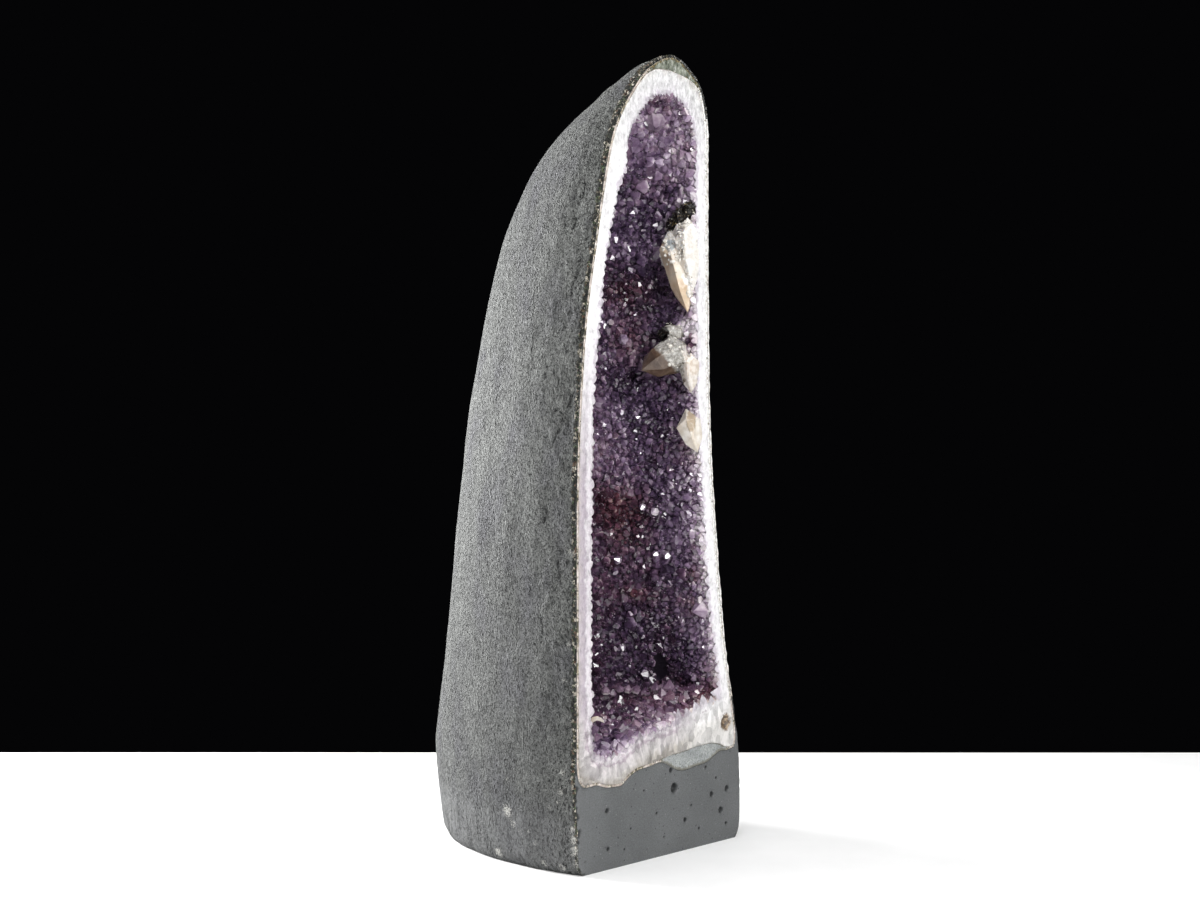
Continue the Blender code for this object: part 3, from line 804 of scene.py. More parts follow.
def add_bowl(sheet, columns, slot=0, marks=(0, 0, 0)):
    faces = grid_faces(len(columns), columns.shape[1], wrap=True)
    sheet.add(columns, faces, slot, np.reshape(marks, (-1, 3)))


def add_face(sheet, points, triangles, depth=0.0, slot=0, marks=(0, 0, 0)):
    sheet.add(np.insert(points, 1, depth, axis=1), triangles.tolist(), slot, marks)


def distance_to(points, loop):
    """How far each flat point is from the nearest point of a loop, and which point that is."""
    nearest = np.array([np.argmin(np.sum((loop - p) ** 2, 1)) for p in points])
    return np.linalg.norm(points - loop[nearest], axis=1), nearest


# The grey stone: skin, foot, sawn face and the hollow behind the rind.
FACE_COUNT = 330
SKIN_COLUMNS = 240
EDGE_JAG = 0.9
CRACKS = (  # on the left side, as lines of places: way back from the face, height
    ((6, 344), (8, 337), (12, 331), (12.5, 324), (17, 314), (19, 309)),
    ((12.5, 331), (17, 334), (20, 331)),
    ((14.5, 499), (13.5, 491), (17, 483)),
    ((17, 473), (18, 466)),
    ((29, 184), (27, 173), (30, 162)),
    ((11, 233), (14, 224), (13, 213)),
    ((10, 431), (12, 422), (11, 415)),
    ((24, 262), (26, 252)),
)
FAR = 9  # the way to a crack is kept up to this
FLECKS = (  # pale spots on the left side: u, v, h, radius
    (-8, 62, 40, 7), (-7, 57, 31, 4), (-7, 50, 26, 3), (-6, 42, 28, 3), (-6, 36, 20, 3), (-7, 60, 64, 4),
    (-7, 64, 56, 3), (0, 3, 26, 5), (1, 2, 18, 6), (0, 4, 34, 4), (1, 2, 8, 4), (-4, 12, 60, 4),
    (-4, 15, 52, 3), (-10, 75, 7, 5), (-4, 30, 6, 4), (-2, 14, 5, 4), (-5, 22, 48, 3), (-5, 10, 74, 4),
    (-5, 4, 232, 3), (-5, 5, 166, 3), (-4, 6, 348, 2.5), (-5, 9, 140, 3),
)
WHITE_EDGE = (100, 112, 560)  # the face's right strip is white crust beyond this u, between these heights
FOOT_TOP = 84  # above this the sawn face of the stone has the look of its coat
FOOT_POINTS = 90
PIT_RINGS = ((0.0, 1), (0.45, 6), (0.8, 9), (0.97, 12), (1.06, 12))  # share of a pit's radius, points
PIT_DEPTH = 1.3  # how deep a pit is, as a share of its radius
COATED, SAWN, SEAM = 0, 1, 2  # the stone's slots
quartz = bowl(QUARTZ_LEFT, QUARTZ_RIGHT, FACE_COUNT, np.linspace(0, 1, 8), lining=1)
rind_by = rind_thickness(quartz)

heights = np.concatenate([np.linspace(0, 560, 228), np.linspace(562, HEIGHT, 34)])
skin = np.array([body_section(h, SKIN_COLUMNS) for h in heights])
flat = skin.reshape(-1, 3)
shape = skin.shape[:2]


def skin_noise(size, seed, taller):
    """Noise at each point of the skin, with lumps some times taller than wide."""
    return noise_at(flat, size, seed, (1, 1, taller)).reshape(shape)


normal = np.cross(np.gradient(skin, axis=1), np.gradient(skin, axis=0))
normal /= np.linalg.norm(normal, axis=2, keepdims=True)
normal *= np.sign((normal * (skin - skin.mean(1, keepdims=True))).sum(2, keepdims=True))
away = np.minimum(1, skin[..., 1] / 35) * np.minimum(1, skin[..., 2] / 45)
lump = LUMP_HEIGHT * away * skin_noise(LUMP_SIZE, 0, 1 / 0.7)
relief = 0.6 * skin_noise(12, 1, 2.2) + 0.4 * skin_noise(4, 2, 1.6)
folds = 0.8 * skin_noise(17, 4, 3.2)
left_side = np.arange(SKIN_COLUMNS + 1)[None, :] < SKIN_COLUMNS / 2
torn = left_side * np.exp(-(((skin[..., 1] - 12) / 20) ** 2)) * np.clip((skin[..., 2] - 60) / 30, 0, 1)
tear = np.maximum(skin_noise(4, 3, 1.8), 0)
edge_strip = left_side * np.exp(-((skin[..., 1] / 5) ** 2))
to_crack = np.full(shape, float(FAR))
for line in CRACKS:
    for k, (start, end) in enumerate(zip(line, line[1:])):
        start, run = np.array(start), np.array(end) - start
        offset = skin[..., 1:] - start
        way = (offset @ run) / (run @ run)
        apart = np.linalg.norm(offset - np.clip(way, 0, 1)[..., None] * run, axis=2)
        side = np.sign(offset[..., 0] * run[1] - offset[..., 1] * run[0])
        past = ((way < 0) & (k == 0)) | ((way > 1) & (k == len(line) - 2))
        to_crack = np.where(left_side & (apart < np.abs(to_crack)), np.where(past, 1, side) * apart, to_crack)
cracks = np.exp(-((to_crack / 1.3) ** 2))
push = lump - 0.5 + folds + relief * (0.45 + 1.3 * torn) - torn * tear - 0.6 * cracks
push *= np.minimum(1, skin[..., 1] / 4) * np.minimum(1, (HEIGHT - skin[..., 2]) / 6 + 0.3)
skin = skin + normal * push[..., None]
jag = EDGE_JAG * (noise_at(skin[:, 0], 5, 8) + 0.6 * noise_at(skin[:, 0], 2.2, 9) - 0.5)
skin[:, :3, 0] -= jag[:, None] * np.array([1, 0.6, 0.2])
jag = EDGE_JAG * (noise_at(skin[:, -1], 6, 10) + 0.5 * noise_at(skin[:, -1], 2.6, 11) - 0.4)
skin[:, -3:, 0] += jag[:, None] * np.array([0.2, 0.6, 1])
skin[:, 0, 1] = skin[:, -1, 1] = 0
skin[0, :, 2] = 0
flecks = np.zeros(shape)
for u, v, h, radius in FLECKS:
    apart = np.linalg.norm((skin - np.array((u, v, h))) * np.array((0.3, 1, 1)), axis=2)
    flecks = np.maximum(flecks, left_side * np.exp(-((apart / radius) ** 2)))
marks = np.stack([edge_strip, flecks * 0.75, to_crack], 2)

shell = Sheet()
shell.add(skin, grid_faces(*shape), COATED, marks.reshape(-1, 3))
shell.add(skin[0], [tuple(range(shape[1]))], SAWN)
shell.add(skin[-1], [tuple(range(shape[1]))], COATED)
foot_edge = np.linspace(skin[0, -1, 0], skin[0, 0, 0], FOOT_POINTS)[1:-1]
foot_edge = np.stack([foot_edge, np.zeros(FOOT_POINTS - 2)], 1)
outline = np.concatenate([skin[:, 0][:, [0, 2]], skin[::-1, -1][:, [0, 2]], foot_edge])
hollow = grown(quartz, rind_by + 2 * GAP)
pit_points = [
    (u + r * share * cos(k * 2 * pi / count), h + r * share * sin(k * 2 * pi / count))
    for u, h, r in PITS for share, count in PIT_RINGS for k in range(count)
]
points, triangles = ring_between(outline, rim(hollow), 3.0, pit_points)
sunk = np.zeros(len(points))
hole = np.zeros((len(points), 3))
for u, h, r in PITS:
    apart = np.hypot(points[:, 0] - u, points[:, 1] - h)
    within = np.sqrt(np.maximum(1 - (apart / r) ** 2, 0))
    sunk = np.maximum(sunk, PIT_DEPTH * r * within)
    hole[:, 0] = np.maximum(hole[:, 0], within)
hole[points[:, 1] > FOOT_TOP] = (0.9, 0, 0)  # there the same number marks the coat's speckled front edge
middles = points[triangles].mean(1)
least_u, least_h, most_h = WHITE_EDGE
white = (middles[:, 0] > least_u) & (middles[:, 1] > least_h) & (middles[:, 1] < most_h)
sort = np.where(white, SEAM, np.where(middles[:, 1] > FOOT_TOP, COATED, SAWN))
add_face(shell, points, triangles, sunk, sort, hole)
add_bowl(shell, hollow, COATED)
seam = seam_look()
shell.piece("grey_stone", [coat_look(), foot_look(), seam], "cement_shell", smooth=True)

# The green rind: a crown, a lens in the foot and a thin seam between them.
SEAM_UNDER = 2.6  # where the rind is thinner than this, it is seam
CROWN_ABOVE = 300  # elsewhere it is crown above this height and lens below it
RIM_REACH = 5  # the mark of the way in from the rock is 1 here
CROWN, LENS = 0, 1  # the rind's slots, and the seam's is the same as the stone's
rind = Sheet()
rind_outer, rind_inner = grown(quartz, rind_by + GAP), grown(quartz, GAP)
points, triangles = ring_between(rim(rind_outer), rim(rind_inner), 1.5)
marks = np.zeros((len(points), 3))
marks[:, 0] = distance_to(points, rim(rind_outer))[0] / RIM_REACH
middles = points[triangles].mean(1)
thick = distance_to(middles, rim(rind_inner))[0] + distance_to(middles, rim(rind_outer))[0]
sort = np.where(thick < SEAM_UNDER, SEAM, np.where(middles[:, 1] > CROWN_ABOVE, CROWN, LENS))
add_face(rind, points, triangles, slot=sort, marks=marks)
add_bowl(rind, rind_outer, SEAM)
add_bowl(rind, rind_inner, SEAM)
rind.piece("green_rind", [crown_look(), lens_look(), seam], "celadonite_rind", smooth=True)

# The white quartz, its inner edge toothed by the crystals that the saw went through.
MOUTH_COUNT = 620
QUARTZ_DEEP = 20  # the mark of the way in, on the faces against the rind
TEETH_FADE = 3.5  # how fast the teeth fade behind the face
IRON_DEPTH = 4
stations = np.concatenate([[0, 0.006, 0.016, 0.03, 0.05, 0.08], np.linspace(0.14, 1, 14)])
mouth = bowl(MOUTH_LEFT, MOUTH_RIGHT, MOUTH_COUNT, stations)
edge = mouth[:, 0]
step = np.linalg.norm(np.roll(edge, -1, 0) - edge, axis=1)
length = np.concatenate([[0], np.cumsum(step)[:-1]])


def tooth_kind(u, h):
    """How wide, how high for their width and how blunt the teeth are at a place, each from and to."""
    if h < 125 and u > 104:
        return (8, 13), (0.6, 0.95), (0.9, 1.2)
    if h < 125 and u > 14:
        return (4, 8), (0.45, 0.85), (0.9, 1.3)
    if h > 545:
        return (2.5, 6), (0.5, 1.1), (0.9, 1.2)
    if u > 100 and h < 230:
        return (5, 11), (0.3, 0.65), (1.0, 1.8)
    return (3, 9), (0.25, 0.5), (1.2, 2.4)


teeth = np.zeros(len(edge))
start = 0.0
while start < step.sum():
    u, _, h = edge[np.searchsorted(length, start, side="right") - 1]
    wide, share, power = (rng.uniform(*span) for span in tooth_kind(u, h))
    lean = rng.uniform(0.3, 0.7)
    t = (length - start) / wide
    t = np.where(t < lean, 0.5 * t / lean, 0.5 + 0.5 * (t - lean) / (1 - lean))
    tooth = wide * share * (1 - np.abs(2 * t - 1) ** power)
    teeth = np.maximum(teeth, np.where((t > 0) & (t < 1), tooth, 0))
    start += wide * rng.uniform(0.8, 1.0)
teeth += 1.3 * noise_at(edge, 16, 21) + 0.7 * noise_at(edge, 1.8, 22)
fade = np.exp(-np.maximum(mouth[..., 1], 0) / TEETH_FADE)
wall = mouth + outward(mouth) * (CRYSTAL_FOOT * (1 - fade) - (teeth[:, None] - 1.0) * fade)[..., None]
wall[:, 0, 1] = 0
band = Sheet()
points, triangles = ring_between(rim(quartz), rim(wall), 1.9)
apart, nearest = distance_to(points, rim(mouth))
apart = np.where(inside(points, rim(mouth)), -apart, apart)
pit_u, pit_h, pit_wide, pit_tall = IRON_PIT
apart_from_pit = ((points[:, 0] - pit_u) / pit_wide) ** 2 + ((points[:, 1] - pit_h) / pit_tall) ** 2
bumps = 0.5 * np.maximum(noise_at(np.insert(points, 1, 0, axis=1), 3.2, 23), 0)
dip = IRON_DEPTH * np.sqrt(np.maximum(1 - apart_from_pit, 0)) + bumps
add_face(band, points, triangles, dip, marks=np.stack([edge[nearest, 0], edge[nearest, 2], apart], 1))
add_bowl(band, wall, marks=np.stack([wall[..., 0], wall[..., 2], 0 * wall[..., 0]], 2))
add_bowl(band, quartz, marks=(0, 0, QUARTZ_DEEP))
band.piece("white_quartz_band", [band_look()], "quartz_band", smooth=True)

# The druse stands on the mouth's bowl; its floor swells to a crest and drops behind it.
CREST_HEIGHT = 9  # how much the floor swells before it drops
FLOOR_BELOW = 140  # the crystals of the floor stand lower than this
fine = bowl(MOUTH_LEFT, MOUTH_RIGHT, 200, np.linspace(0, 1, 60))
fine_up = -outward(fine)
POCKET = (145, 55, 133, 9, 14)  # a gap low on the right wall, bare of crystals, its ground painted black as shadow: u, v, h, half width, half height
BARE = (122, 13, 484, 10)  # where black grains stand in place of quartz: u, v, h, radius


def crest_of(u):
    """How far behind the face the floor's crest is."""
    return np.interp(u, (60, 100, 130, 150), (66, 62, 34, 10))


def swell(points, ups):
    """How much the floor stands above the bowl."""
    level = np.clip((ups[..., 2] - 0.25) / 0.4, 0, 1) * np.clip((150 - points[..., 2]) / 10, 0, 1)
    way = points[..., 1] / crest_of(points[..., 0])
    return CREST_HEIGHT * level * np.where(way < 1, way, np.exp(-(((way - 1) / 0.09) ** 2)))


def in_pocket(points):
    """Below 1 inside the ragged gap whose ground is painted black as shadow."""
    u, v, h, wide, tall = POCKET
    ragged = 0.5 * noise_at(points.reshape(-1, 3), 7, 24).reshape(points.shape[:-1])
    apart = ((points[..., 1] - v) / wide) ** 2 + ((points[..., 2] - h) / tall) ** 2
    return apart + ragged + (points[..., 0] < 100)


TRIES = 90000
LARGE = 260  # the first tries are for large crystals
CLOSEST = 0.255  # how near two crystals may stand, as a share of their two widths together
NEAR_FACE, NEAR_FACE_LEFT = 1.5, 5.5  # how far behind the face the crystals start, and on the left wall
CELL = 10.0  # the crystals' neighbours are looked up in cells of this size
across, deeper = np.roll(fine, -1, 0)[:, :-1] - fine[:, :-1], fine[:, 1:] - fine[:, :-1]
cell = np.linalg.norm(np.cross(across, deeper), axis=2)
chances = np.cumsum(cell.reshape(-1))
column, ring = np.divmod(
    np.minimum(np.searchsorted(chances, draw.uniform(0, chances[-1], TRIES)), cell.size - 1), cell.shape[1]
)
s, t = draw.uniform(0, 1, (2, TRIES, 1))
after = (column + 1) % len(fine)


def blend_at(values):
    """The value at each try, from the four corners of its cell."""
    near_side = values[column, ring] * (1 - s) + values[after, ring] * s
    far_side = values[column, ring + 1] * (1 - s) + values[after, ring + 1] * s
    return near_side * (1 - t) + far_side * t


spots, ups = blend_at(fine), blend_at(fine_up)
ups /= np.linalg.norm(ups, axis=1, keepdims=True)
spots[:, 2] += swell(spots, ups)
patch = noise_at(spots, 20, 7)
gap = in_pocket(spots)
grid = {}
crystals = []
for n in range(TRIES):
    p, up = spots[n], ups[n]
    nearest_face = NEAR_FACE_LEFT if up[0] > 0.5 else NEAR_FACE
    if p[1] < nearest_face or gap[n] < 0.7 or np.linalg.norm(p - BARE[:3]) < BARE[3]:
        continue
    on_floor = up[2] > 0.5 and p[2] < FLOOR_BELOW
    size = 6.6 + 2.0 * patch[n] + (1.6 if on_floor else 0) + (0.8 if p[2] > 470 else 0)
    size = max(3.6, size * draw.uniform(0.6, 1.35)) * (draw.uniform(1.3, 1.8) if n < LARGE else 1)
    key = tuple((p // CELL).astype(int))
    closest = CLOSEST * (0.84 if on_floor else 1)
    crowded = any(
        np.sum((other - p) ** 2) < (closest * (size + other_size)) ** 2
        for a in (-1, 0, 1) for b in (-1, 0, 1) for c in (-1, 0, 1)
        for other, other_size in grid.get((key[0] + a, key[1] + b, key[2] + c), ())
    )
    if crowded:
        continue
    grid.setdefault(key, []).append((p, size))
    crystals.append((p, up, size))

# Patches of colour on the druse: v, h, their spreads, the depth of colour to add, the warmth to add.
PATCHES = (
    (80, 258, 26, 20, 0.22, 0.9),
    (76, 222, 24, 24, 0.12, 0.65),
    (70, 190, 22, 7, -0.14, 0.6),
    (82, 176, 22, 8, 0.22, 0.25),
    (35, 255, 16, 42, 0.0, -0.3),
    (18, 207, 9, 7, 0.12, 0.6),
    (22, 185, 12, 9, -0.04, 0.4),
    # painted shade: this patch, and those at v 53 and 55 below h 150, darken the crystals behind the floor's
    # crest
    (85, 145, 36, 32, 0.46, 0.1),
    (53, 140, 15, 22, 0.4, 0.2),
    (8, 114, 8, 9, 0.6, 0.4),
    (20, 548, 60, 40, -0.3, 0.0),
    (35, 505, 30, 12, 0.12, 0.0),
    (50, 480, 20, 12, 0.06, -0.3),
    (60, 432, 20, 15, 0.26, 0.6),
    (62, 395, 20, 12, 0.16, 0.3),
    (60, 330, 30, 22, 0.06, 0.1),
    (36, 112, 46, 17, 0.16, 0.46),
    (55, 133, 12, 17, 0.35, 0.0),
    (6, 388, 5, 5.5, 2.2, 0.8),
    (70, 160, 40, 14, 0.06, 0.0),
)
WHITE_CRUST = (  # where the right wall is white beside the calcites: v, h, their spreads
    (6, 460, 13, 34), (6, 384, 14, 20), (5, 322, 8, 12),
)
GLINTS = (  # the brightest crystals of the right wall, each with one face painted as a glint: u, v, h, width
    (118, 40, 507, 6), (120, 39, 480, 6), (113, 60, 463, 7), (109, 75, 427, 6), (106, 80, 402, 6),
    (127, 31, 336, 6), (122, 59, 330, 5), (125, 58, 302, 6), (108, 88, 318, 5), (124, 56, 259, 6),
    (118, 78, 217, 7), (133, 38, 221, 7), (130, 48, 222, 6), (126, 80, 146, 6), (139, 68, 125, 9),
    (142, 63, 121, 8), (103, 33, 556, 6), (114, 60, 474, 5),
)
LONE = (  # crystals that stand out: u, v, h, width, depth of colour, warmth
    (108, 27, 558, 17, 0.34, 0.15), (124, 17, 497, 11, 0.02, 0.1), (119, 26, 476, 6, 0.1, 0.2),
    (120, 21, 471, 6, 0.1, 0.3), (120, 30, 470, 5, 0.15, 0.2), (113, 61, 455, 10, 0.35, 0.0),
    (111, 65, 392, 9, 0.4, 0.0), (125, 44, 256, 7, 0.1, 0.0),
)
CREST = (  # the tips of the crystals along the floor's crest: u, v, h, width
    (90, 63, 121, 7), (97, 62, 120, 8), (102.5, 60, 123, 8), (107, 55.5, 121.5, 7),
    (111.5, 51, 121.5, 8), (117, 46, 120.5, 9), (122.5, 41, 123, 9), (126.5, 37, 123.5, 7),
    (130, 34, 126, 12), (134, 29, 121.5, 9), (138.5, 24, 118.5, 11), (141.5, 20, 114.5, 9),
    (144.5, 16.5, 114, 11), (148.5, 12, 111.5, 10), (152, 10, 107, 9),
)
CORNER_CLUSTER = (  # the tips of the pale crystals low on the right, at the face: u, v, h, width
    (128, 4, 113, 13), (136, 4, 114.5, 15), (142, 4, 110, 12), (132, 3, 106, 12), (139, 2.5, 104, 12),
    (123, 3, 103.5, 10), (147, 3, 104, 9), (118, 3, 101, 8),
)


def colour_of(p):
    """A crystal's depth and warmth of colour, from where it stands."""
    u, v, h = p
    spot = Vector(p)
    reach = float(np.interp(h, (180, 300), (16, 10)))
    pale = float(np.interp(h, (490, 530), (0.66, 0.36))) * exp(-((v / reach) ** 1.3))
    edge_reach = float(np.interp(h, (230, 330), (10, 5)))
    pale += 0.36 * (u > 100) * (h < 470) * exp(-((v / edge_reach) ** 2))
    depth = 0.82 - pale + 0.34 * noise.noise(spot / 32) + 0.22 * noise.noise(spot / 11)
    warmth = 0.06 + 0.4 * noise.noise(spot / 40 + Vector((5, 2, 9)))
    for at_v, at_h, spread_v, spread_h in WHITE_CRUST:
        depth -= (u > 100) * exp(-(((v - at_v) / spread_v) ** 4) - ((h - at_h) / spread_h) ** 4)
    for at_v, at_h, spread_v, spread_h, deeper, warmer in PATCHES:
        share = exp(-(((v - at_v) / spread_v) ** 2) - ((h - at_h) / spread_h) ** 2)
        depth += share * deeper
        warmth += share * warmer
    depth += rng.gauss(0, 0.05)
    if rng.random() < 0.03:
        depth -= 0.25
    return min(max(depth, 0.0), 1.0), min(max(warmth + rng.gauss(0, 0.12), 0.0), 1.0)


SIDES = 6
FOOT_DEPTH = 2.4  # how far under its place a crystal starts


def crystal(p, up, size, lean=0.45, blunt=0.5):
    """One six-sided crystal with three wide and three narrow end faces: its points and its faces."""
    axis = (Vector(up) + Vector([rng.gauss(0, lean) for _ in range(3)])).normalized()
    side = axis.orthogonal().normalized()
    other = axis.cross(side)
    turn = rng.uniform(0, 2 * pi)
    r = size / 2
    shoulder = r * rng.uniform(-0.4, 0.15)
    steep = rng.uniform(1.05, 1.35)
    top = shoulder + 0.866 * r * steep
    centre = Vector(p)

    def at(angle, reach, along):
        return centre + (side * cos(turn + angle) + other * sin(turn + angle)) * reach + axis * along

    foot = [at(k * pi / 3, r * 0.9, -FOOT_DEPTH) for k in range(SIDES)]
    neck = [at(k * pi / 3, r, shoulder) for k in range(SIDES)]
    split = [r * rng.uniform(0.1, blunt) for _ in range(3)]
    ridge = [at(pi / 2 + k * 2 * pi / 3, split[k], top - split[k] * 0.5 * steep) for k in range(3)]
    points = foot + neck + ridge + [at(0, 0, top)]
    faces = [(k, (k + 1) % SIDES, 6 + (k + 1) % SIDES, 6 + k) for k in range(SIDES)]
    for k in range(3):
        a, b, c = 6 + 2 * k, 7 + 2 * k, 6 + (2 * k + 2) % SIDES
        faces.append((a, b, 12 + k, 15, 12 + (k - 1) % 3))
        faces.append((b, c, 12 + k))
    faces.append((5, 4, 3, 2, 1, 0))
    return np.array([q[:] for q in points]), faces


CLIMB = np.array([0.0] * 6 + [0.6] * 6 + [0.9] * 3 + [1.0])  # the way up the crystal, for each of its points
CORNERS = len(CLIMB)
NEAREST = 0.15  # how far behind the face every crystal is cut off
GLASSY, CLOUDY, GLINT_FACE = 0, 1, 2  # the slots of the amethyst's looks, the last for faces painted as glints
WIDE_ENDS = (6, 8, 10)  # which of a crystal's faces are its wide end faces


def add_crystal(sheet, p, up, size, depth, warmth, slot=GLASSY, lean=0.45, blunt=0.5):
    points, faces = crystal(p, up, size, lean, blunt)
    points[:, 1] = np.maximum(points[:, 1], NEAREST)
    sheet.add(points, faces, slot, np.stack([np.full(CORNERS, depth), np.full(CORNERS, warmth), CLIMB], 1))


def add_glint(sheet, p, up, size, depth, facing):
    """A crystal with one end face painted pale as a glint, turned to face a way."""
    points, faces = crystal(p, up, size, 0.2)
    normals = []
    for k in WIDE_ENDS:
        a, b, c = points[list(faces[k][:3])]
        cross = np.cross(b - a, c - a)
        normals.append(cross / np.linalg.norm(cross))
    nearest = int(np.argmax([normal @ facing for normal in normals]))
    turn = np.array(Vector(normals[nearest]).rotation_difference(Vector(facing)).to_matrix())
    points = (points - p) @ turn.T + p
    points[:, 1] = np.maximum(points[:, 1], NEAREST)
    slots = [GLINT_FACE if k == WIDE_ENDS[nearest] else GLASSY for k in range(len(faces))]
    sheet.add(points, faces, slots, np.stack([np.full(CORNERS, depth), np.zeros(CORNERS), CLIMB], 1))


def up_at(p):
    """The way out of the wall at the point of the bowl nearest to a place."""
    return fine_up[np.unravel_index(np.argmin(((fine - p) ** 2).sum(2)), fine.shape[:2])]


amethyst = [amethyst_look("clear_amethyst", 0.3), amethyst_look("cloudy_amethyst", 0.1), glint_look()]
crystals.sort(key=lambda crystal: crystal[0][2])
SHARES = 3  # the druse is parted by height into this many meshes
GLASSY_SHARE = 0.6  # how many of the crystals are clear
for k in range(SHARES):
    druse = Sheet()
    for p, up, size in crystals[k * len(crystals) // SHARES : (k + 1) * len(crystals) // SHARES]:
        depth, warmth = colour_of(p)
        add_crystal(druse, p, up, size, depth, warmth, GLASSY if rng.random() < GLASSY_SHARE else CLOUDY)
    druse.piece("amethyst_druse_%d" % (k + 1), amethyst, "amethyst_crust", weld=False)

BRIGHT_WAY = np.array((-0.549, -0.824, 0.142))  # the way that the painted glint faces look
TIP = 0.55  # how far above its middle a crystal's tip is, as a share of its width
TIPPED = (  # tips, least and most depth of colour, warmth, the way up, lean, bluntness
    (CREST, 0.56, 0.74, 0.3, (-0.1, -0.2, 1), 0.12, 0.3),
    (CORNER_CLUSTER, 0.02, 0.2, 0.1, (-0.15, -0.35, 1), 0.2, 0.4),
)
large = Sheet()
for u, v, h, size in GLINTS:
    p = np.array((u, v, h), float)
    add_glint(large, p, up_at(p), size, 0.6, BRIGHT_WAY)
for u, v, h, size, depth, warmth in LONE:
    add_crystal(large, (u, v, h), up_at((u, v, h)), size, depth, warmth, lean=0.15)
for tips, least, most, warmth, up, lean, blunt in TIPPED:
    for u, v, h, size in tips:
        depth = rng.uniform(least, most)
        add_crystal(large, (u, v, h - TIP * size), up, size, depth, warmth, GLASSY, lean, blunt)
large.piece("large_crystals", amethyst, weld=False)

# Thin plates: a grey-lilac blade on the left of the right wall and a wavy beige one low on the left.
BLADE = ((104.5, 82, 380.5), (107.5, 80, 383), (111, 77, 382), (109, 79, 378.5), (106, 82, 377.5))
WAVE = (  # u, v, h, how tall
    (12, 4, 104, 2), (16, 6, 106.5, 3), (21, 8, 109, 3.4), (27, 10, 109, 3), (33, 12, 107, 2.6),
    (38, 14, 104.5, 1.4),
)
grey_calcite = calcite_look("grey_calcite", (0.3, 0.27, 0.3), (0.4, 0.36, 0.4), (0.56, 0.52, 0.55))
beige_calcite = calcite_look("beige_calcite", (0.38, 0.31, 0.24), (0.52, 0.45, 0.38), (0.7, 0.65, 0.6))
count = len(BLADE)
blade = Sheet()
blade.add(
    np.concatenate([BLADE, np.array(BLADE) + (0.9, 0.9, 0)]),
    [tuple(range(count)), tuple(range(2 * count - 1, count - 1, -1))]
    + [(k, k + count, (k + 1) % count + count, (k + 1) % count) for k in range(count)],
)
blade.piece("pale_blade", [grey_calcite])
rims = np.array([((u, v, h + tall / 2), (u, v, h - tall / 2)) for u, v, h, tall in WAVE])
wave = Sheet()
wave.add(
    np.concatenate([rims, rims[:, ::-1] + (-0.4, 1.2, 0)], 1),
    [
        (4 * i + k, 4 * i + (k + 1) % 4, 4 * i + 4 + (k + 1) % 4, 4 * i + 4 + k)
        for i in range(len(WAVE) - 1) for k in range(4)
    ]
    + [(3, 2, 1, 0), tuple(4 * (len(WAVE) - 1) + k for k in range(4))],
)
wave.piece("beige_plate", [beige_calcite])

ground = bowl(MOUTH_LEFT, MOUTH_RIGHT, 200, np.linspace(0.02, 1, 44))
upper, lower = grown(ground, 0.6), grown(ground, CRYSTAL_FOOT - GAP)
upper[..., 2] += swell(upper, -outward(ground))
depths = np.array([colour_of(p)[0] for p in upper.reshape(-1, 3)]).reshape(upper.shape[:2])
# the ground is darker where the crystals' colour is deep, and black in the pocket as painted shadow
shade = np.maximum(np.clip((depths - 0.5) / 0.5, 0, 0.7), np.clip(1.7 - in_pocket(upper), 0, 1))
white = np.clip((0.4 - depths) / 0.3, 0, 1)
backing = Sheet()
add_bowl(backing, upper, marks=np.stack([shade, white, 0 * shade], 2))
add_bowl(backing, lower)
add_bowl(backing, np.stack([upper[:, 0], lower[:, 0]], 1))
backing.piece("druse_ground", [ground_look()], smooth=True)

# Calcite keeps its solids, with softened edges; small quartz crystals frost its tops.
PEACH = (0.52, 0.39, 0.27), (0.66, 0.52, 0.38), (0.76, 0.66, 0.53)
TAN = (0.056, 0.034, 0.022), (0.09, 0.056, 0.037), (0.16, 0.112, 0.08)
PALE = (0.55, 0.48, 0.4), (0.66, 0.6, 0.52), (0.84, 0.81, 0.77)
SOFT_EDGE = 0.35
CALCITES = (  # node, material, its dark, middling and light, and what marks it
    ("calcite_upper", "peach_calcite", PEACH, upper_marks),
    ("calcite_middle", "tan_calcite", TAN, middle_marks),
    ("calcite_lower", "pale_calcite", PALE, lower_marks),
)
for name, look_name, colours, marked in CALCITES:
    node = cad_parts[name]
    node.data.materials.clear()
    node.data.materials.append(calcite_look(look_name, *colours, marked))
    soften = node.modifiers.new("soften", "BEVEL")
    soften.width = SOFT_EDGE * MM
    soften.segments = 2
    soften.limit_method = "ANGLE"
    soften.angle_limit = radians(20)


def across_at(p):
    """How far across the calcites a point is, as their materials measure it."""
    x, y, _ = (to_metres(p) / MM).tolist()
    return x - SLANT * y - ACROSS


def frosted_above(across, h):
    """Where small crystals coat the upper calcite."""
    return across < 104 and 447 < h < 474


def crusted_above(across, h):
    """Where larger white crystals coat the upper calcite, towards the sawn face."""
    return (across > 104 and h > 449) or (across > 113 and h > 422)


def frosted_middle(across, h):
    """Where small crystals coat the middle calcite."""
    left, height = FROST_FROM
    under_grains = across < 94 and h > 387
    return across > left and h > max(height - FROST_FALL * (across - left), 366) and not under_grains


FROSTED = (  # node, where, how many tries, smallest and largest crystal
    ("calcite_upper", frosted_above, 260, 2.0, 4.2),
    ("calcite_upper", crusted_above, 700, 2.0, 5.0),
    ("calcite_middle", frosted_middle, 110, 1.6, 3.2),
)


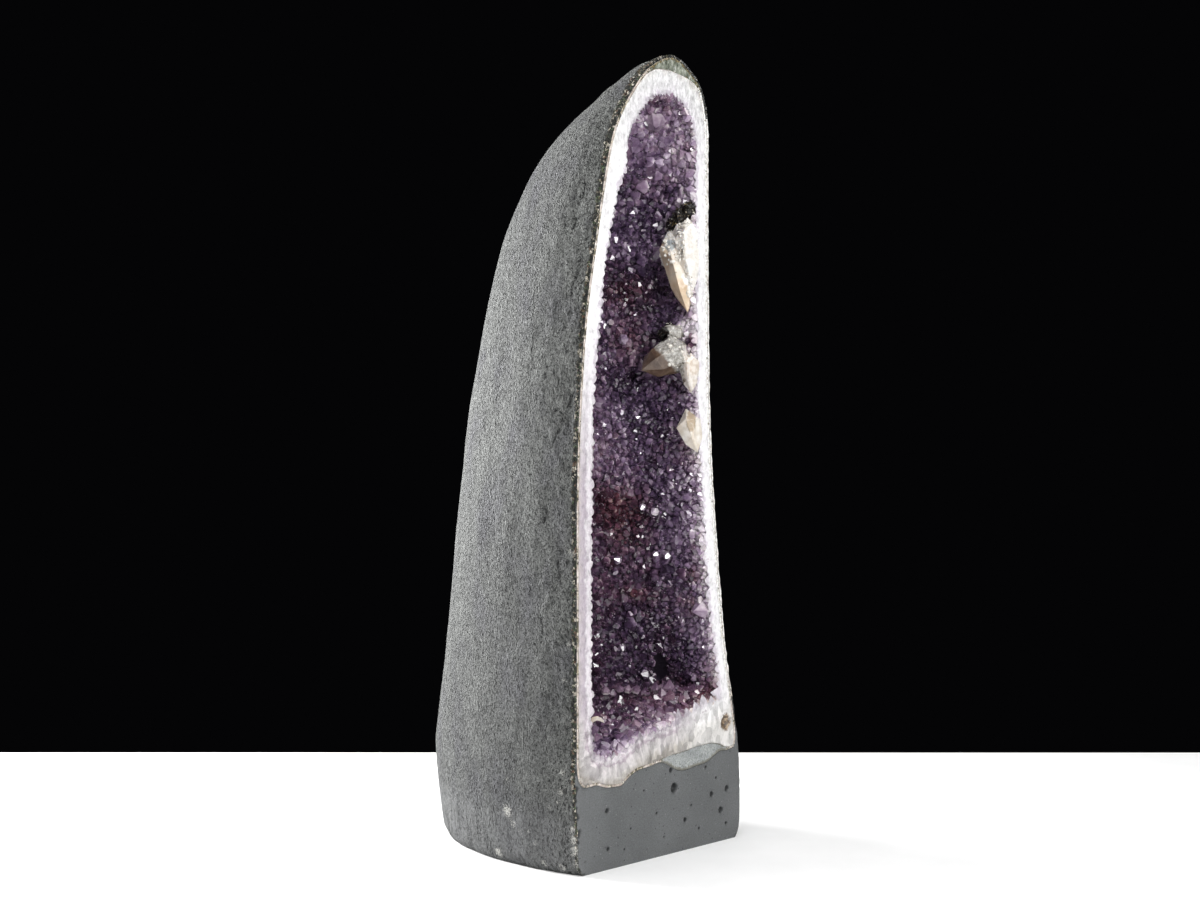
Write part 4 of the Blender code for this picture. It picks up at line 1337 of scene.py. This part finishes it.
def on_surface(name, tries):
    """Points and outward directions spread over a node's surface, in face millimetres."""
    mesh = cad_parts[name].data
    mesh.calc_loop_triangles()
    verts = to_face([v.co[:] for v in mesh.vertices])
    tris = np.array([t.vertices[:] for t in mesh.loop_triangles])
    a, b, c = (verts[tris[:, k]] for k in range(3))
    cross = np.cross(b - a, c - a)
    areas = np.linalg.norm(cross, axis=1)
    pick = np.searchsorted(np.cumsum(areas), draw.uniform(0, areas.sum(), tries))
    x, y = draw.uniform(0, 1, (2, tries, 1))
    x, y = np.where(x + y > 1, 1 - x, x), np.where(x + y > 1, 1 - y, y)
    return a[pick] + (b - a)[pick] * x + (c - a)[pick] * y, cross[pick] / areas[pick][:, None]


frost = Sheet()
for name, where, tries, least, most in FROSTED:
    taken = []
    for p, up in zip(*on_surface(name, tries)):
        size = draw.uniform(least, most)
        if not where(across_at(p), p[2]) or any(np.sum((q - p) ** 2) < (0.55 * size) ** 2 for q in taken):
            continue
        taken.append(p)
        add_crystal(frost, p, up, size, 0, 0)
frost.piece("quartz_frost", [frost_look()], weld=False)

# Goethite: balls of small black grains.
BALLS = (  # node, and the centre and radius of each of its balls
    ("goethite_upper", (((121.5, 19, 478), 8.0), ((122.5, 13, 484.5), 8.2), ((124, 7.6, 489.5), 7.2))),
    ("goethite_middle", (((117, 27, 394), 5.4), ((119, 22, 399), 5.2))),
)
GRAINS_ON_BALL = 170
GRAINS_IN, CORE_IN = 1.2, 0.9  # how far inside a ball's radius its grains and its core are
goethite = goethite_look()
for name, balls in BALLS:
    grains = Sheet()
    for centre, radius in balls:
        for _ in range(GRAINS_ON_BALL):
            way = Vector([rng.gauss(0, 1) for _ in range(3)]).normalized()
            place = np.array(centre) + np.array(way) * (radius - GRAINS_IN)
            add_crystal(grains, place, way, rng.uniform(1.2, 2.4), 0, 0)
        ball = bmesh.new()
        bmesh.ops.create_icosphere(ball, subdivisions=2, radius=radius - CORE_IN)
        core = np.array([v.co[:] for v in ball.verts]) + np.array(centre)
        grains.add(core, [tuple(v.index for v in f.verts) for f in ball.faces])
        ball.free()
    grains.piece(name + "_grains", [goethite], name, weld=False)

# Floor, light and camera.
CAMERA_PLACE = (-838.8, -843.3, 304.6)
CAMERA_LOOK = (0.7133, 0.7009, 0)
TABLE_BACK, TABLE_REACH, TABLE_THICK = 0.487, 3, 0.03  # how far it goes back and the other ways; thickness
NEAR_CORNER = (2.0, 0, 0)  # what the table and the lights are placed from
LIGHTS = (  # name; forward, right and up of it, and of what it faces; its size; watts
    ("left_box", (0.43, -0.69, 0.43), (0.13, 0.0, 0.3), (0.33, 0.4), 20.5),
    ("front_box", (-1.12, 0.66, 0.75), (0.13, 0.0, 0.3), (0.42, 0.5), 15),
    ("top_box", (-0.1, 0.1, 1.5), (-0.1, 0.1, 0), (1.5, 1.5), 28),
)
scene = bpy.context.scene
scene.view_settings.view_transform = "Standard"
look_along = Vector(CAMERA_LOOK)
right_of = Vector((look_along.y, -look_along.x, 0))
near_corner = Vector(to_metres(np.array(NEAR_CORNER)))


def ahead(forward, right, up):
    """A point by its way forward and right of the near corner, as the camera looks, in metres."""
    return near_corner + look_along * forward + right_of * right + Vector((0, 0, up))


def stand(name, data, place=(0, 0, 0), looking=None):
    """An object of the scene, at a place and turned to look a way."""
    obj = bpy.data.objects.new(name, data)
    obj.location = place
    if looking is not None:
        obj.rotation_mode = "QUATERNION"
        obj.rotation_quaternion = looking.to_track_quat("-Z", "Y")
    scene.collection.objects.link(obj)
    return obj


camera_data = bpy.data.cameras.new("camera")
camera_data.lens = 50
camera_data.sensor_width = 36
bpy.context.scene.camera = stand("camera", camera_data, to_metres(np.array(CAMERA_PLACE)), look_along)

table_look = Look("white_table")
paint = table_look.ramp(table_look.noise(60), (0.3, (0.9, 0.9, 0.9)), (0.7, (0.94, 0.94, 0.94)))
near, far, side = -TABLE_REACH, TABLE_BACK, TABLE_REACH
corners = ((far, -side), (far, side), (near, side), (near, -side))
top = [ahead(forward, right, 0) for forward, right in corners]
under = [corner - Vector((0, 0, TABLE_THICK)) for corner in top]
bm = bmesh.new()
top, under = ([bm.verts.new(corner) for corner in layer] for layer in (top, under))
bm.faces.new(top)
bm.faces.new(under[::-1])
for k in range(4):
    bm.faces.new((top[k], under[k], under[(k + 1) % 4], top[(k + 1) % 4]))
bmesh.ops.recalc_face_normals(bm, faces=bm.faces)
table_mesh = bpy.data.meshes.new("table")
bm.to_mesh(table_mesh)
bm.free()
table_mesh.materials.append(table_look.done(paint, 0.5))
table = stand("table", table_mesh)

world = bpy.data.worlds.new("studio")
world.use_nodes = True
world.node_tree.nodes["Background"].inputs["Color"].default_value = (0.0015, 0.0015, 0.0018, 1)
scene.world = world

for name, place, target, size, watts in LIGHTS:
    data = bpy.data.lights.new(name, "AREA")
    data.shape = "RECTANGLE"
    data.size, data.size_y = size
    data.energy = watts
    light = stand(name, data, ahead(*place), ahead(*target) - ahead(*place))
    light.visible_camera = False
